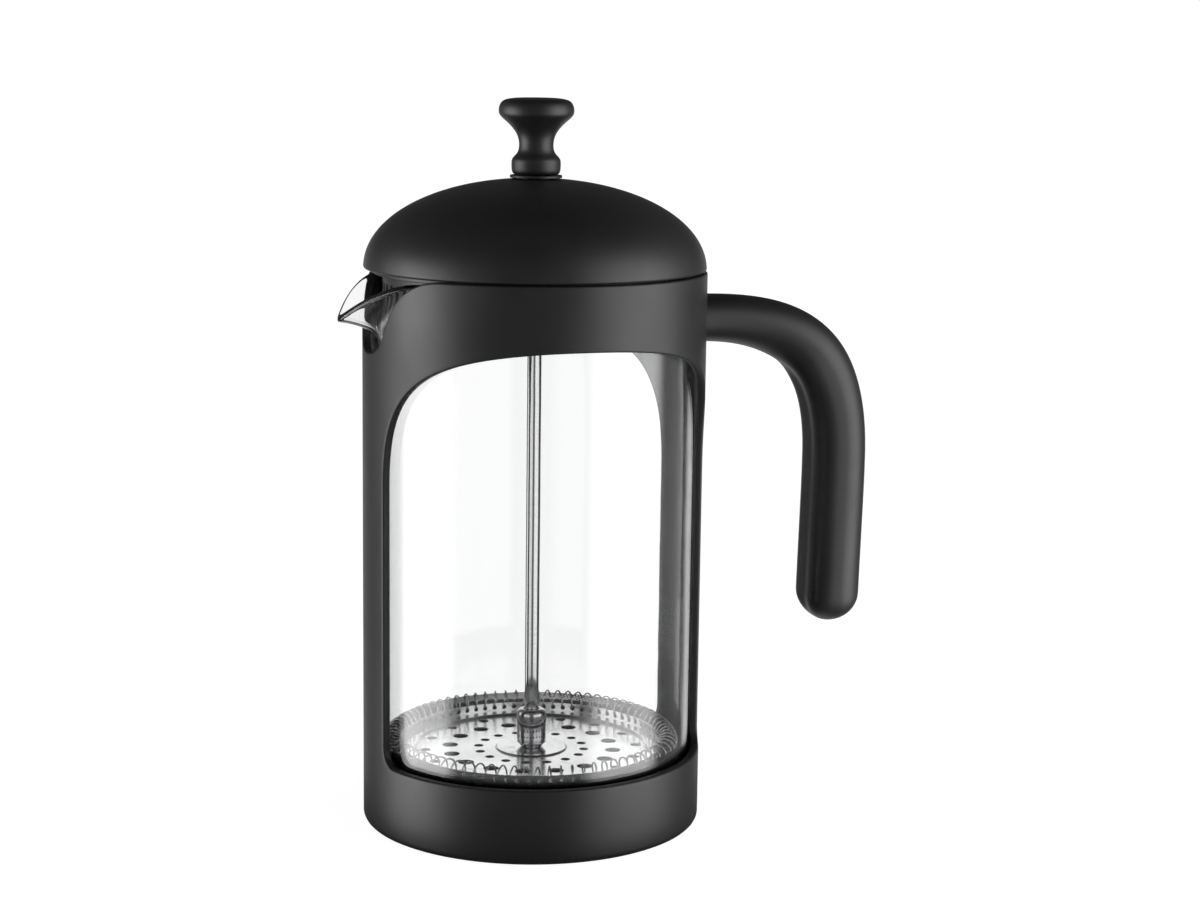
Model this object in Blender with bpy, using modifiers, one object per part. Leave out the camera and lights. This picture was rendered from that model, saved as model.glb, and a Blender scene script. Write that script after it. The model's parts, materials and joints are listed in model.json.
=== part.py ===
"""A one-litre French press, modelled as the pieces it comes apart into.

The press stands on the XY plane. Its axis is Z, the spout points along -X and the handle
along +X, and the carrier's two windows face -Y and +Y. Lengths are in metres.
"""

import math

import bmesh
import bpy
from mathutils import Matrix, Vector

MM = 0.001
GAP = 0.3 * MM                      # left between pieces that touch on the real press

# Carrier: a moulded cup and ring, joined by two posts
FRAME_R = 53.5 * MM
FRAME_WALL = 2.6 * MM
FRAME_TOP = 174.8 * MM
FLOOR_T = 2.6 * MM
CUP_RIM = 23.4 * MM                 # bottom edge of the windows
WINDOW_TOP = 155.2 * MM
WINDOW_HALF = math.radians(75.9)
WINDOW_SPRING = 111.3 * MM          # where the arch leaves the straight side
ARCH_RISE = 29.9 * MM               # length of the arch's upright handle
ARCH_RUN = 0.676                    # the arch's level handle, as a share of the half width
WINDOW_FILLET = 5.5 * MM
NOTCH_HALF = math.radians(42)
NOTCH_WAIST = math.radians(13.4)
NOTCH_WAIST_Z = 156.5 * MM
NOTCH_BOTTOM = 150.4 * MM

# Beaker
GLASS_R = 50.2 * MM
GLASS_WALL = 2.2 * MM
GLASS_BASE = 5.2 * MM
GLASS_RIM = 173.6 * MM
GLASS_CORNER = 8.0 * MM
SPOUT_DROP_HALF = math.radians(42)  # the lip dips over this half angle
SPOUT_HALF = math.radians(28)       # and swells outwards over this one, less lower down
SPOUT_THROAT = math.radians(10)
SPOUT_REACH = 12.6 * MM
SPOUT_DROP = 13.6 * MM
SPOUT_DEPTH = 21.6 * MM             # how far below the rim the wall starts to swell

# Lid
LID_R = 53.2 * MM
LID_Z = 175.1 * MM
DOME_RISE = 27.9 * MM
DOME_POWER = 2.06
LID_WALL = 2.0 * MM
SKIRT_R = 47.2 * MM
SKIRT_WALL = 1.6 * MM
SKIRT_BOTTOM = 160.0 * MM
WEB_T = 1.6 * MM
SLOT_COUNT = 11
SLOT_PITCH = math.radians(5.6)
SLOT_W = 2.2 * MM

# Plunger, with its knob down on the lid
ROD_R = 2.25 * MM
ROD_HOLE_R = ROD_R + GAP
ROD_TOP = 219.0 * MM
ROD_BOTTOM = 27.3 * MM
KNOB_Z = 204.3 * MM
HUB_R = 4.65 * MM
HUB_TOP = 34.6 * MM
HUB_Z = 22.3 * MM
PLATE_Z = 21.6 * MM                 # top of the plate's flat
PLATE_T = 0.6 * MM
BOSS_R = 11.5 * MM
BOSS_RISE = 0.4 * MM
PLATE_STEP_R = 36.8 * MM
PLATE_STEP = 0.8 * MM
PLATE_R = 40.2 * MM
HOLE_RINGS = ((16.9 * MM, 1.5 * MM, 0.0), (26.2 * MM, 2.5 * MM, 0.0), (34.0 * MM, 2.3 * MM, 0.5))
HOLES_PER_RING = 16
COIL_RING_R = 43.9 * MM
COIL_Z = 25.7 * MM
COIL_R = 3.0 * MM                   # centre of the wire
WIRE_R = 0.28 * MM
COIL_TURNS = 78
POINTS_PER_TURN = 5
MESH_T = 0.3 * MM
CROSS_T = 1.0 * MM
CROSS_R = 37.5 * MM
STUD_R = 1.5 * MM

# Handle
GRIP_X = 103.3 * MM
ROOT_Z = 158.5 * MM
SCREW_Z = (154.4 * MM, 162.6 * MM)
SCREW_R = 1.5 * MM
SCREW_LENGTH = 15 * MM
SCREW_HEAD_R = 2.9 * MM

LARGE_STEPS = 64                    # flats round the large turned pieces
SMALL_STEPS = 20                    # and round the small ones


# ---------------------------------------------------------------- scene and materials

for old in list(bpy.data.objects):
    bpy.data.objects.remove(old, do_unlink=True)


def new_collection(name):
    collection = bpy.data.collections.new(name)
    bpy.context.scene.collection.children.link(collection)
    return collection


PARTS = new_collection("french_press")
CUTTERS = new_collection("cutters")


def new_material(name, colour, roughness, metallic=0.0, transmission=0.0):
    material = bpy.data.materials.new(name)
    material.use_nodes = True
    shader = material.node_tree.nodes["Principled BSDF"]
    shader.inputs["Base Color"].default_value = (*colour, 1.0)
    shader.inputs["Roughness"].default_value = roughness
    shader.inputs["Metallic"].default_value = metallic
    shader.inputs["Transmission Weight"].default_value = transmission
    return material


BLACK = new_material("black_plastic", (0.018, 0.018, 0.019), 0.45)
RUBBER = new_material("silicone", (0.03, 0.03, 0.03), 0.8)
GLASS = new_material("glass", (0.98, 0.99, 0.99), 0.02, transmission=1.0)
STEEL = new_material("stainless", (0.62, 0.62, 0.63), 0.28, metallic=1.0)
CHROME = new_material("chrome", (0.75, 0.75, 0.76), 0.08, metallic=1.0)
BRASS = new_material("brass", (0.78, 0.58, 0.26), 0.3, metallic=1.0)


# ---------------------------------------------------------------- shape helpers

def new_object(name, data, material=None, collection=PARTS):
    obj = bpy.data.objects.new(name, data)
    collection.objects.link(obj)
    if material:
        data.materials.append(material)
    return obj


def finish_mesh(bm, name, material=None, collection=PARTS):
    mesh = bpy.data.meshes.new(name)
    bm.to_mesh(mesh)
    bm.free()
    return new_object(name, mesh, material, collection)


def arc(centre, radius, start, end, steps):
    """Points along an arc in the (r, z) plane, angles in degrees."""
    points = []
    for i in range(steps + 1):
        angle = math.radians(start + (end - start) * i / steps)
        points.append((centre[0] + radius * math.cos(angle), centre[1] + radius * math.sin(angle)))
    return points


def bezier(p0, p1, p2, p3, steps):
    points = []
    for i in range(steps + 1):
        t = i / steps
        weights = ((1 - t) ** 3, 3 * t * (1 - t) ** 2, 3 * t * t * (1 - t), t ** 3)
        points.append(tuple(sum(w * p[k] for w, p in zip(weights, (p0, p1, p2, p3)))
                            for k in range(2)))
    return points


def turned(name, profile, material=None, steps=LARGE_STEPS, ring=False, collection=PARTS):
    """Turn a profile of (r, z) points about Z; a ring's profile is joined into a loop."""
    bm = bmesh.new()
    verts = [bm.verts.new((r, 0, z)) for r, z in profile]
    for a, b in zip(verts, verts[1:]):
        bm.edges.new((a, b))
    if ring:
        bm.edges.new((verts[-1], verts[0]))
    obj = finish_mesh(bm, name, material, collection)
    screw = obj.modifiers.new("turn", "SCREW")
    screw.steps = steps
    screw.render_steps = steps
    screw.use_merge_vertices = True
    screw.merge_threshold = 0.00001
    return obj


def hide_cutter(obj):
    obj.hide_render = True
    obj.display_type = "WIRE"
    return obj


def cut(obj, cutter):
    boolean = obj.modifiers.new("cut_" + cutter.name, "BOOLEAN")
    boolean.operation = "DIFFERENCE"
    boolean.object = cutter


def joined_cutters(name, meshes):
    """One cutter object from many separate closed shapes, given as bmeshes."""
    whole = bmesh.new()
    for part in meshes:
        part_mesh = bpy.data.meshes.new(name)
        part.to_mesh(part_mesh)
        part.free()
        whole.from_mesh(part_mesh)
        bpy.data.meshes.remove(part_mesh)
    return hide_cutter(finish_mesh(whole, name, collection=CUTTERS))


def peg(radius, low, high, place, segments=16):
    """A closed cylinder from low to high along its own Z, then moved by place."""
    bm = bmesh.new()
    middle = Matrix.Translation((0, 0, (low + high) / 2))
    bmesh.ops.create_cone(bm, cap_ends=True, segments=segments, radius1=radius,
                          radius2=radius, depth=high - low, matrix=place @ middle)
    return bm


def cone(radius_low, radius_high, height, place):
    """A closed cone frustum centred on its place, its wide end down."""
    bm = bmesh.new()
    bmesh.ops.create_cone(bm, cap_ends=True, segments=16, radius1=radius_low,
                          radius2=radius_high, depth=height, matrix=place)
    return bm


def block(size, place):
    bm = bmesh.new()
    bmesh.ops.create_cube(bm, size=1, matrix=place @ Matrix.Diagonal((*size, 1)))
    return bm


def wrapped_cutter(name, columns, facing, radius_out, depth):
    """A cutter that goes radially through a round wall.

    columns holds (angle, low z, high z) across the opening, measured from the direction
    facing. The sheet bends round the axis and is thickened towards it.
    """
    bm = bmesh.new()
    count = len(columns)
    bmesh.ops.create_grid(bm, x_segments=count - 1, y_segments=1, size=1)
    bm.verts.ensure_lookup_table()
    for vert in bm.verts:
        angle, low, high = columns[round((vert.co.x + 1) / 2 * (count - 1))]
        z = high if vert.co.y > 0 else low
        turn = facing - angle
        vert.co = (radius_out * math.cos(turn), radius_out * math.sin(turn), z)
    obj = hide_cutter(finish_mesh(bm, name, collection=CUTTERS))
    solidify = obj.modifiers.new("depth", "SOLIDIFY")
    solidify.thickness = depth
    solidify.offset = -1.0
    return obj


# ---------------------------------------------------------------- carrier

def window_columns():
    """Half of the arch from the straight side to the middle, then mirrored."""
    half = bezier((WINDOW_HALF, WINDOW_SPRING), (WINDOW_HALF, WINDOW_SPRING + ARCH_RISE),
                  (WINDOW_HALF * ARCH_RUN, WINDOW_TOP), (0, WINDOW_TOP), 16)
    low = []
    for angle, top in half:
        inset = (WINDOW_HALF - angle) * FRAME_R
        rise = 0.0
        if inset < WINDOW_FILLET:
            rise = WINDOW_FILLET - math.sqrt(WINDOW_FILLET ** 2 - (WINDOW_FILLET - inset) ** 2)
        low.append((angle, CUP_RIM + rise, top))
    right = [(-angle, bottom, top) for angle, bottom, top in reversed(low[:-1])]
    return [(a, b, t) for a, b, t in low] + right


def notch_columns():
    flare = bezier((NOTCH_HALF, FRAME_TOP), (NOTCH_HALF * 0.6, FRAME_TOP),
                   (NOTCH_WAIST * 1.24, NOTCH_WAIST_Z + 7 * MM), (NOTCH_WAIST, NOTCH_WAIST_Z), 9)
    toe = bezier((NOTCH_WAIST, NOTCH_WAIST_Z), (NOTCH_WAIST * 0.9, NOTCH_WAIST_Z - 4 * MM),
                 (NOTCH_WAIST * 0.45, NOTCH_BOTTOM), (0, NOTCH_BOTTOM), 5)
    half = flare + toe[1:]
    above = FRAME_TOP + 4 * MM
    left = [(angle, z, above) for angle, z in half]
    right = [(-angle, z, above) for angle, z in reversed(half[:-1])]
    return left + right


def along_x(x, z):
    """Turns a shape's own Z to +X and moves it to (x, 0, z)."""
    return Matrix.Translation((x, 0, z)) @ Matrix.Rotation(math.pi / 2, 4, "Y")


def make_carrier():
    fillet = 2.2 * MM
    inner = FRAME_R - FRAME_WALL
    edge = 0.5 * MM
    profile = [(inner, FRAME_TOP - edge), (inner + edge, FRAME_TOP), (FRAME_R - edge, FRAME_TOP),
               (FRAME_R, FRAME_TOP - edge)]
    profile += arc((FRAME_R - fillet, fillet), fillet, 0, -90, 4)
    profile += [(0, 0)]
    cavity = [(0, FLOOR_T), (inner - 3 * MM, FLOOR_T), (inner, FLOOR_T + 3 * MM)]
    frame = turned("carrier_frame", cavity + profile, BLACK, steps=72)
    reach = FRAME_R + 6 * MM
    depth = FRAME_WALL + 12 * MM
    cut(frame, wrapped_cutter("window_front", window_columns(), -math.pi / 2, reach, depth))
    cut(frame, wrapped_cutter("window_back", window_columns(), math.pi / 2, reach, depth))
    cut(frame, wrapped_cutter("spout_notch", notch_columns(), math.pi, reach, depth))
    seat = inner - 1.5 * MM
    shanks = [peg(SCREW_R + GAP, 0, 10 * MM, along_x(seat, z)) for z in SCREW_Z]
    cut(frame, joined_cutters("carrier_screw_holes", shanks))
    sink = 4 * MM
    wide = SCREW_HEAD_R + sink / 2
    heads = [cone(wide, wide - sink, sink, along_x(inner, z)) for z in SCREW_Z]
    cut(frame, joined_cutters("carrier_countersinks", heads))


def make_screws():
    head_face = FRAME_R - FRAME_WALL + 0.25 * MM
    names = ("handle_screw_lower", "handle_screw_upper")
    head_r = SCREW_HEAD_R - 0.7 * MM
    tip = -SCREW_LENGTH
    for name, z in zip(names, SCREW_Z):
        profile = [(0, 0), (head_r, 0), (SCREW_R, SCREW_R - head_r), (SCREW_R, tip + 2 * MM),
                   (0.3 * MM, tip), (0, tip)]
        screw = turned(name, profile, STEEL, steps=12)
        screw.location = (head_face, 0, z)
        screw.rotation_euler = (0, -math.pi / 2, 0)


def make_pad():
    low = FLOOR_T + GAP
    high = GLASS_BASE - GAP
    edge = 0.4 * MM
    profile = [(18 * MM, high - edge), (18 * MM + edge, high), (40 * MM - edge, high),
               (40 * MM, high - edge), (40 * MM, low), (18 * MM, low)]
    turned("base_pad", profile, RUBBER, ring=True, steps=32)


# ---------------------------------------------------------------- handle

def handle_path():
    """Stations of the handle's centre line in the XZ plane, root to tip."""
    bend = bezier((FRAME_R + GAP, ROOT_Z), (89.5 * MM, ROOT_Z), (GRIP_X, 145.2 * MM),
                  (GRIP_X, 112 * MM), 14)
    grip = bezier((GRIP_X, 112 * MM), (GRIP_X, 100 * MM), (102.7 * MM, 85 * MM),
                  (102.3 * MM, 66.5 * MM), 3)
    return bend + grip[1:]


def smooth(t):
    t = min(max(t, 0.0), 1.0)
    return t * t * (3 - 2 * t)


def handle_section(share, shrink, count=20):
    """Cross-section points (towards the outside of the bend, sideways).

    share runs from 0 at the root to 1 at the tip. The section is nearly round at the root
    and turns into a D with a shallow groove on the side that faces the carrier.
    """
    deep = (7.6 + 2.5 * smooth(share / 0.55)) * MM * shrink
    wide = (8.6 + 1.6 * smooth(share / 0.5)) * MM * shrink
    flat = smooth((share - 0.22) / 0.3) * shrink
    points = []
    for i in range(count):
        angle = 2 * math.pi * i / count
        out = math.cos(angle)
        side = math.sin(angle)
        if out < 0:
            out = -abs(out) ** (1 - 0.45 * flat)
            groove = 0.16 * flat * math.exp(-(side / 0.42) ** 2)
            out += groove
        points.append((out * deep, side * wide))
    return points


def make_handle():
    path = handle_path()
    centres = [Vector((x, 0, z)) for x, z in path]
    stations = []
    total = len(centres) - 1
    for i, centre in enumerate(centres):
        ahead = centres[min(i + 1, total)] - centres[max(i - 1, 0)]
        stations.append((centre, ahead.normalized(), i / total, 1.0))
    last, direction = stations[-1][0], stations[-1][1]
    tip_length = 9.6 * MM
    for k in range(1, 5):
        turn = math.radians(88 * k / 4)
        centre = last + direction * tip_length * math.sin(turn)
        stations.append((centre, direction, 1.0, max(math.cos(turn), 0.08)))
    bm = bmesh.new()
    rings = []
    for centre, forward, share, shrink in stations:
        outward = Vector((0, 1, 0)).cross(forward).normalized() * -1
        section = handle_section(share, shrink)
        rings.append([bm.verts.new(centre + outward * out + Vector((0, side, 0)))
                      for out, side in section])
    # The root follows the round of the carrier's ring, a hair's breadth outside it
    for vert in rings[0]:
        vert.co.x = math.sqrt((FRAME_R + GAP) ** 2 - vert.co.y ** 2)
    for ring_a, ring_b in zip(rings, rings[1:]):
        for k in range(len(ring_a)):
            n = (k + 1) % len(ring_a)
            bm.faces.new((ring_a[k], ring_a[n], ring_b[n], ring_b[k]))
    for ring in (rings[0], rings[-1]):
        middle = sum((v.co for v in ring), Vector()) / len(ring)
        centre = bm.verts.new(middle)
        if ring is rings[0]:
            centre.co.x = FRAME_R + GAP
        for k in range(len(ring)):
            bm.faces.new((ring[k], ring[(k + 1) % len(ring)], centre))
    bmesh.ops.recalc_face_normals(bm, faces=bm.faces)
    handle = finish_mesh(bm, "handle", BLACK)
    handle.data.shade_smooth()
    start = FRAME_R - 2 * MM
    depth = SCREW_LENGTH + 1.5 * MM
    pilots = [peg(SCREW_R + GAP, 0, depth, along_x(start, z)) for z in SCREW_Z]
    cut(handle, joined_cutters("handle_pilot_holes", pilots))


# ---------------------------------------------------------------- beaker

def spout_share(angle, half):
    """1 on the spout's line, falling to 0 at half; angle from -X in radians."""
    return max(0.0, 1 - abs(angle) / half)


def make_beaker():
    foot = GLASS_R - GLASS_CORNER
    profile = [(0, GLASS_BASE), (foot * 0.5, GLASS_BASE)]
    profile += arc((foot, GLASS_BASE + GLASS_CORNER), GLASS_CORNER, -90, 0, 3)
    levels = 7
    start = GLASS_RIM - SPOUT_DEPTH
    profile += [(GLASS_R, 0.5 * (start + GLASS_BASE + GLASS_CORNER))]
    profile += [(GLASS_R, start + SPOUT_DEPTH * i / levels) for i in range(levels + 1)]
    bm = bmesh.new()
    verts = [bm.verts.new((r, 0, z)) for r, z in profile]
    edges = [bm.edges.new(pair) for pair in zip(verts, verts[1:])]
    bmesh.ops.spin(bm, geom=verts + edges, axis=(0, 0, 1), cent=(0, 0, 0),
                   steps=LARGE_STEPS, angle=2 * math.pi, use_merge=True)
    bmesh.ops.remove_doubles(bm, verts=bm.verts, dist=0.00001)
    for vert in bm.verts:
        swell = (vert.co.z - start) / SPOUT_DEPTH
        if swell <= 0:
            continue
        angle = math.atan2(vert.co.y, -vert.co.x)
        half = SPOUT_THROAT + (SPOUT_HALF - SPOUT_THROAT) * swell ** 2
        reach = SPOUT_REACH * spout_share(angle, half) ** 1.8 * swell ** 2.1
        radius = GLASS_R + reach
        vert.co.x, vert.co.y = -radius * math.cos(angle), radius * math.sin(angle)
        drop = spout_share(angle, SPOUT_DROP_HALF) ** 1.32
        vert.co.z -= SPOUT_DROP * drop * swell ** 1.28
    bmesh.ops.recalc_face_normals(bm, faces=bm.faces)
    beaker = finish_mesh(bm, "glass_beaker", GLASS)
    beaker.data.shade_smooth()
    wall = beaker.modifiers.new("wall", "SOLIDIFY")
    wall.thickness = GLASS_WALL
    wall.offset = -1.0
    wall.use_even_offset = True


# ---------------------------------------------------------------- lid

def dome_z(r, radius, rise):
    return LID_Z + rise * (1 - (r / radius) ** DOME_POWER) ** (1 / DOME_POWER)


def make_dome():
    hole = 5.3 * MM
    edge = 1.0 * MM
    steps = 9
    outer = []
    inner = []
    for i in range(steps + 1):
        turn = math.pi / 2 * i / steps
        r_out = hole + (LID_R - hole) * math.sin(turn)
        outer.append((r_out, dome_z(r_out, LID_R, DOME_RISE)))
        inner_r = LID_R - LID_WALL
        r_in = hole + (inner_r - hole) * math.cos(turn)
        inner.append((r_in, dome_z(r_in, inner_r, DOME_RISE - LID_WALL)))
    outer[-1] = (LID_R, LID_Z + edge)
    rim = [(LID_R - edge * 0.3, LID_Z + edge * 0.3), (LID_R - edge, LID_Z)]
    rim += [(LID_R - LID_WALL, LID_Z)]
    turned("lid_dome", outer + rim + inner[1::2], BLACK, ring=True, steps=56)


def make_insert():
    web_low = GLASS_RIM + GAP
    web_high = web_low + WEB_T
    rim_r = 50.4 * MM
    inner = SKIRT_R - SKIRT_WALL
    profile = [(ROD_HOLE_R + GAP, web_high), (rim_r, web_high), (rim_r, web_low),
               (SKIRT_R, web_low), (SKIRT_R, SKIRT_BOTTOM), (inner, SKIRT_BOTTOM),
               (inner, web_low), (ROD_HOLE_R + GAP, web_low)]
    insert = turned("lid_insert", profile, BLACK, ring=True, steps=56)
    slots = []
    middle = (SKIRT_BOTTOM + web_low) / 2
    for i in range(SLOT_COUNT):
        turn = Matrix.Rotation(math.pi + SLOT_PITCH * (i - (SLOT_COUNT - 1) / 2), 4, "Z")
        place = turn @ Matrix.Translation((SKIRT_R, 0, middle))
        slots.append(block((8 * MM, SLOT_W, 8.4 * MM), place))
    cut(insert, joined_cutters("pour_slots", slots))


def make_guide():
    top = 204.0 * MM
    flange_low = 203.15 * MM
    flange_r = 8.1 * MM
    sleeve = 5.0 * MM
    low = 190 * MM
    edge = 0.35 * MM
    profile = [(ROD_HOLE_R, top - edge), (ROD_HOLE_R + edge, top), (flange_r - edge, top),
               (flange_r, top - edge), (flange_r, flange_low), (sleeve, flange_low),
               (sleeve, low), (ROD_HOLE_R, low)]
    turned("rod_guide", profile, BLACK, ring=True, steps=SMALL_STEPS)
    nut_top = 200.2 * MM
    nut_low = 197.4 * MM
    nut_r = 8 * MM
    blank = [(0, nut_top), (nut_r, nut_top), (nut_r, nut_low), (0, nut_low)]
    nut = turned("guide_nut", blank, STEEL, steps=6)
    thread = [peg(sleeve + GAP, nut_low - 1 * MM, nut_top + 1 * MM, Matrix(), SMALL_STEPS)]
    cut(nut, joined_cutters("guide_nut_thread", thread))


# ---------------------------------------------------------------- plunger

def make_knob():
    """The knob's outline is a mushroom cap, a waist and a collar."""
    base = KNOB_Z
    collar = 7.6 * MM
    waist = 5.3 * MM
    cap = 11.65 * MM
    top = base + 23.3 * MM
    bore = ROD_HOLE_R + 1.1 * MM
    bore_top = base + 9.5 * MM
    inside = [(0, ROD_TOP + GAP), (ROD_HOLE_R, ROD_TOP + GAP), (ROD_HOLE_R, bore_top),
              (bore, bore_top), (bore, base)]
    cap_z = base + 19.5 * MM
    crown = bezier((0, top), (5 * MM, top), (cap - 0.6 * MM, top - 0.6 * MM), (cap, cap_z), 5)
    under = bezier((cap, cap_z), (cap, cap_z - 2.8 * MM), (waist, base + 14.2 * MM),
                   (waist, base + 9.2 * MM), 5)
    flare = bezier((waist, base + 9.2 * MM), (waist, base + 5.6 * MM), (collar, base + 6.2 * MM),
                   (collar, base + 3.9 * MM), 3)
    foot = [(collar, base + 0.9 * MM), (collar - 0.9 * MM, base)]
    outline = crown + under[1:] + flare[1:] + foot
    turned("knob", outline + list(reversed(inside)), BLACK, steps=28)
    low = base + 0.8 * MM
    high = bore_top - GAP
    ring = [(ROD_HOLE_R, high), (bore - GAP, high), (bore - GAP, low), (ROD_HOLE_R, low)]
    turned("knob_insert", ring, BRASS, ring=True, steps=SMALL_STEPS)


def make_rod():
    edge = 0.3 * MM
    profile = [(0, ROD_TOP), (ROD_R - edge, ROD_TOP), (ROD_R, ROD_TOP - edge),
               (ROD_R, ROD_BOTTOM + edge), (ROD_R - edge, ROD_BOTTOM), (0, ROD_BOTTOM)]
    turned("plunger_rod", profile, STEEL, steps=SMALL_STEPS)


def make_hub():
    socket = ROD_BOTTOM - 0.1 * MM
    stud_top = socket - 1.0 * MM
    shoulder = 1.7 * MM
    profile = [(0, socket), (ROD_HOLE_R, socket), (ROD_HOLE_R, HUB_TOP)]
    profile += arc((HUB_R - shoulder, HUB_TOP - shoulder), shoulder, 90, 0, 3)
    profile += [(HUB_R, HUB_Z + 1.5 * MM), (HUB_R - 1.3 * MM, HUB_Z),
                (STUD_R + GAP, HUB_Z), (STUD_R + GAP, stud_top), (0, stud_top)]
    turned("rod_hub", profile, CHROME, steps=SMALL_STEPS)


def make_plate():
    """A dished disc with a raised middle, a stepped edge and rings of holes."""
    high = PLATE_Z + BOSS_RISE
    line = [(STUD_R + GAP, high), (BOSS_R - 0.6 * MM, high), (BOSS_R, PLATE_Z),
            (PLATE_STEP_R, PLATE_Z), (PLATE_STEP_R + 1.2 * MM, PLATE_Z + PLATE_STEP),
            (PLATE_R, PLATE_Z + PLATE_STEP)]
    profile = line + [(r, z - PLATE_T) for r, z in reversed(line)]
    plate = turned("spiral_plate", profile, STEEL, ring=True, steps=48)
    holes = []
    for ring_r, hole_r, offset in HOLE_RINGS:
        for i in range(HOLES_PER_RING):
            turn = 2 * math.pi * (i + offset) / HOLES_PER_RING
            place = Matrix.Translation((ring_r * math.cos(turn), ring_r * math.sin(turn), 0))
            holes.append(peg(hole_r, PLATE_Z - 3 * MM, PLATE_Z + 3 * MM, place, segments=8))
    cut(plate, joined_cutters("plate_holes", holes))


def make_spring():
    """The wire winds round a circle, so the coil closes on itself."""
    curve = bpy.data.curves.new("spiral_spring", "CURVE")
    curve.dimensions = "3D"
    curve.bevel_depth = WIRE_R
    curve.bevel_resolution = 0
    curve.materials.append(STEEL)
    spline = curve.splines.new("POLY")
    count = COIL_TURNS * POINTS_PER_TURN
    spline.points.add(count - 1)
    spline.use_cyclic_u = True
    for i in range(count):
        around = 2 * math.pi * i / count
        turn = 2 * math.pi * i / POINTS_PER_TURN
        r = COIL_RING_R + COIL_R * math.cos(turn)
        z = COIL_Z + COIL_R * math.sin(turn)
        spline.points[i].co = (r * math.cos(around), r * math.sin(around), z, 1)
    new_object("spiral_spring", curve)


def make_mesh():
    """The screen lies flat under the plate and turns up round the outside of the coil."""
    bottom = PLATE_Z - PLATE_T - GAP
    clear = COIL_R + WIRE_R + GAP
    wrap = arc((COIL_RING_R, COIL_Z), clear, -90, 0, 3)
    line = [(STUD_R + GAP, bottom), (PLATE_STEP_R, bottom)] + wrap
    line += [(wrap[-1][0], COIL_Z + 1.1 * MM)]
    outline = [(STUD_R + GAP, bottom - MESH_T), (PLATE_STEP_R, bottom - MESH_T)]
    outline += arc((COIL_RING_R, COIL_Z), clear + MESH_T, -90, 0, 3)
    outline += [(wrap[-1][0] + MESH_T, COIL_Z + 1.1 * MM)]
    turned("filter_mesh", line + list(reversed(outline)), STEEL, ring=True, steps=48)


def make_cross_plate():
    top = PLATE_Z - PLATE_T - 2 * GAP - MESH_T
    low = top - CROSS_T
    profile = [(STUD_R + GAP, top), (CROSS_R, top), (CROSS_R, low), (STUD_R + GAP, low)]
    plate = turned("cross_plate", profile, STEEL, ring=True, steps=48)
    petals = []
    count = 6
    for i in range(count):
        for ring_r, hole_r in ((14.5 * MM, 4.5 * MM), (27.5 * MM, 7.5 * MM)):
            turn = 2 * math.pi * i / count
            place = Matrix.Translation((ring_r * math.cos(turn), ring_r * math.sin(turn), 0))
            petals.append(peg(hole_r, low - 2 * MM, top + 2 * MM, place, segments=12))
    cut(plate, joined_cutters("cross_plate_windows", petals))
    head_top = low - GAP
    stud = [(0, ROD_BOTTOM - 1.4 * MM), (STUD_R, ROD_BOTTOM - 1.4 * MM), (STUD_R, head_top),
            (3.4 * MM, head_top), (3.4 * MM, head_top - 1.4 * MM), (0, head_top - 1.4 * MM)]
    turned("cross_stud", stud, STEEL, steps=SMALL_STEPS)


make_carrier()
make_screws()
make_pad()
make_handle()
make_beaker()
make_dome()
make_insert()
make_guide()
make_knob()
make_rod()
make_hub()
make_plate()
make_spring()
make_mesh()
make_cross_plate()

for part in PARTS.objects:
    if part.type == "MESH":
        part.data.shade_smooth()
        part.data.set_sharp_from_angle(angle=math.radians(35))
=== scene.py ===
# %% [markdown]
# # A French press, down to its screws
#
# This lesson starts from a press that already works as a machine: a carrier, a glass beaker, a
# lid that turns and a plunger that slides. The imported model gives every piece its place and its
# size. Here each piece is made again with the roundings, holes, wires and finishes that the
# real one has, and is tied to the body that it moves with.

# %% Load the frame
import json
import math

import bmesh
import bpy
import numpy as np
from mathutils import Matrix, Vector
from mathutils.geometry import delaunay_2d_cdt


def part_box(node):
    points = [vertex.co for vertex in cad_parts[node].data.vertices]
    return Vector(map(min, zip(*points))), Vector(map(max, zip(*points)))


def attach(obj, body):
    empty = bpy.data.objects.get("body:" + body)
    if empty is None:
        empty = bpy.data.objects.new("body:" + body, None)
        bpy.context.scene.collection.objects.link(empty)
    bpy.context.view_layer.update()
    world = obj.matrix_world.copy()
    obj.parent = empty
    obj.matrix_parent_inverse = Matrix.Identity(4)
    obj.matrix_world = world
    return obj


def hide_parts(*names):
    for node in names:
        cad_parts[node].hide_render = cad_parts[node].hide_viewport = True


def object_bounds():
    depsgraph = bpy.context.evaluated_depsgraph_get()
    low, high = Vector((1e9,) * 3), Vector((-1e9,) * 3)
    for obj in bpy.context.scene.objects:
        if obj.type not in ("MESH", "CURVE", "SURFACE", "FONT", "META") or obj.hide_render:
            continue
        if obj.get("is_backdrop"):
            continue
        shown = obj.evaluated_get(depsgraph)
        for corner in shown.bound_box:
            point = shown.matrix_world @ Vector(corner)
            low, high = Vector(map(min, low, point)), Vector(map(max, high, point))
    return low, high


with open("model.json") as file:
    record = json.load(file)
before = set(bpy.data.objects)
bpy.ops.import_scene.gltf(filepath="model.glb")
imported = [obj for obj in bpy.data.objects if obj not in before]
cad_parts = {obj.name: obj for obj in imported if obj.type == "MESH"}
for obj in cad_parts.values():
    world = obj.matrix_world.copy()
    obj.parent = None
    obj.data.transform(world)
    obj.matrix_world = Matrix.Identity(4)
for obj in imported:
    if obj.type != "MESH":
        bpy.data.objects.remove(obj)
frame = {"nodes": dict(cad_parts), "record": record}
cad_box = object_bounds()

MM = 0.001
print("pieces in the frame:", len(frame["nodes"]))

# %% [markdown]
# ## Sizes
#
# A piece that is made again has to sit exactly where the plain one sat, so its main sizes are
# read from the frame instead of being typed in. Only roundings and small details, which the
# frame doesn't have, get numbers of their own further on.

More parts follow.
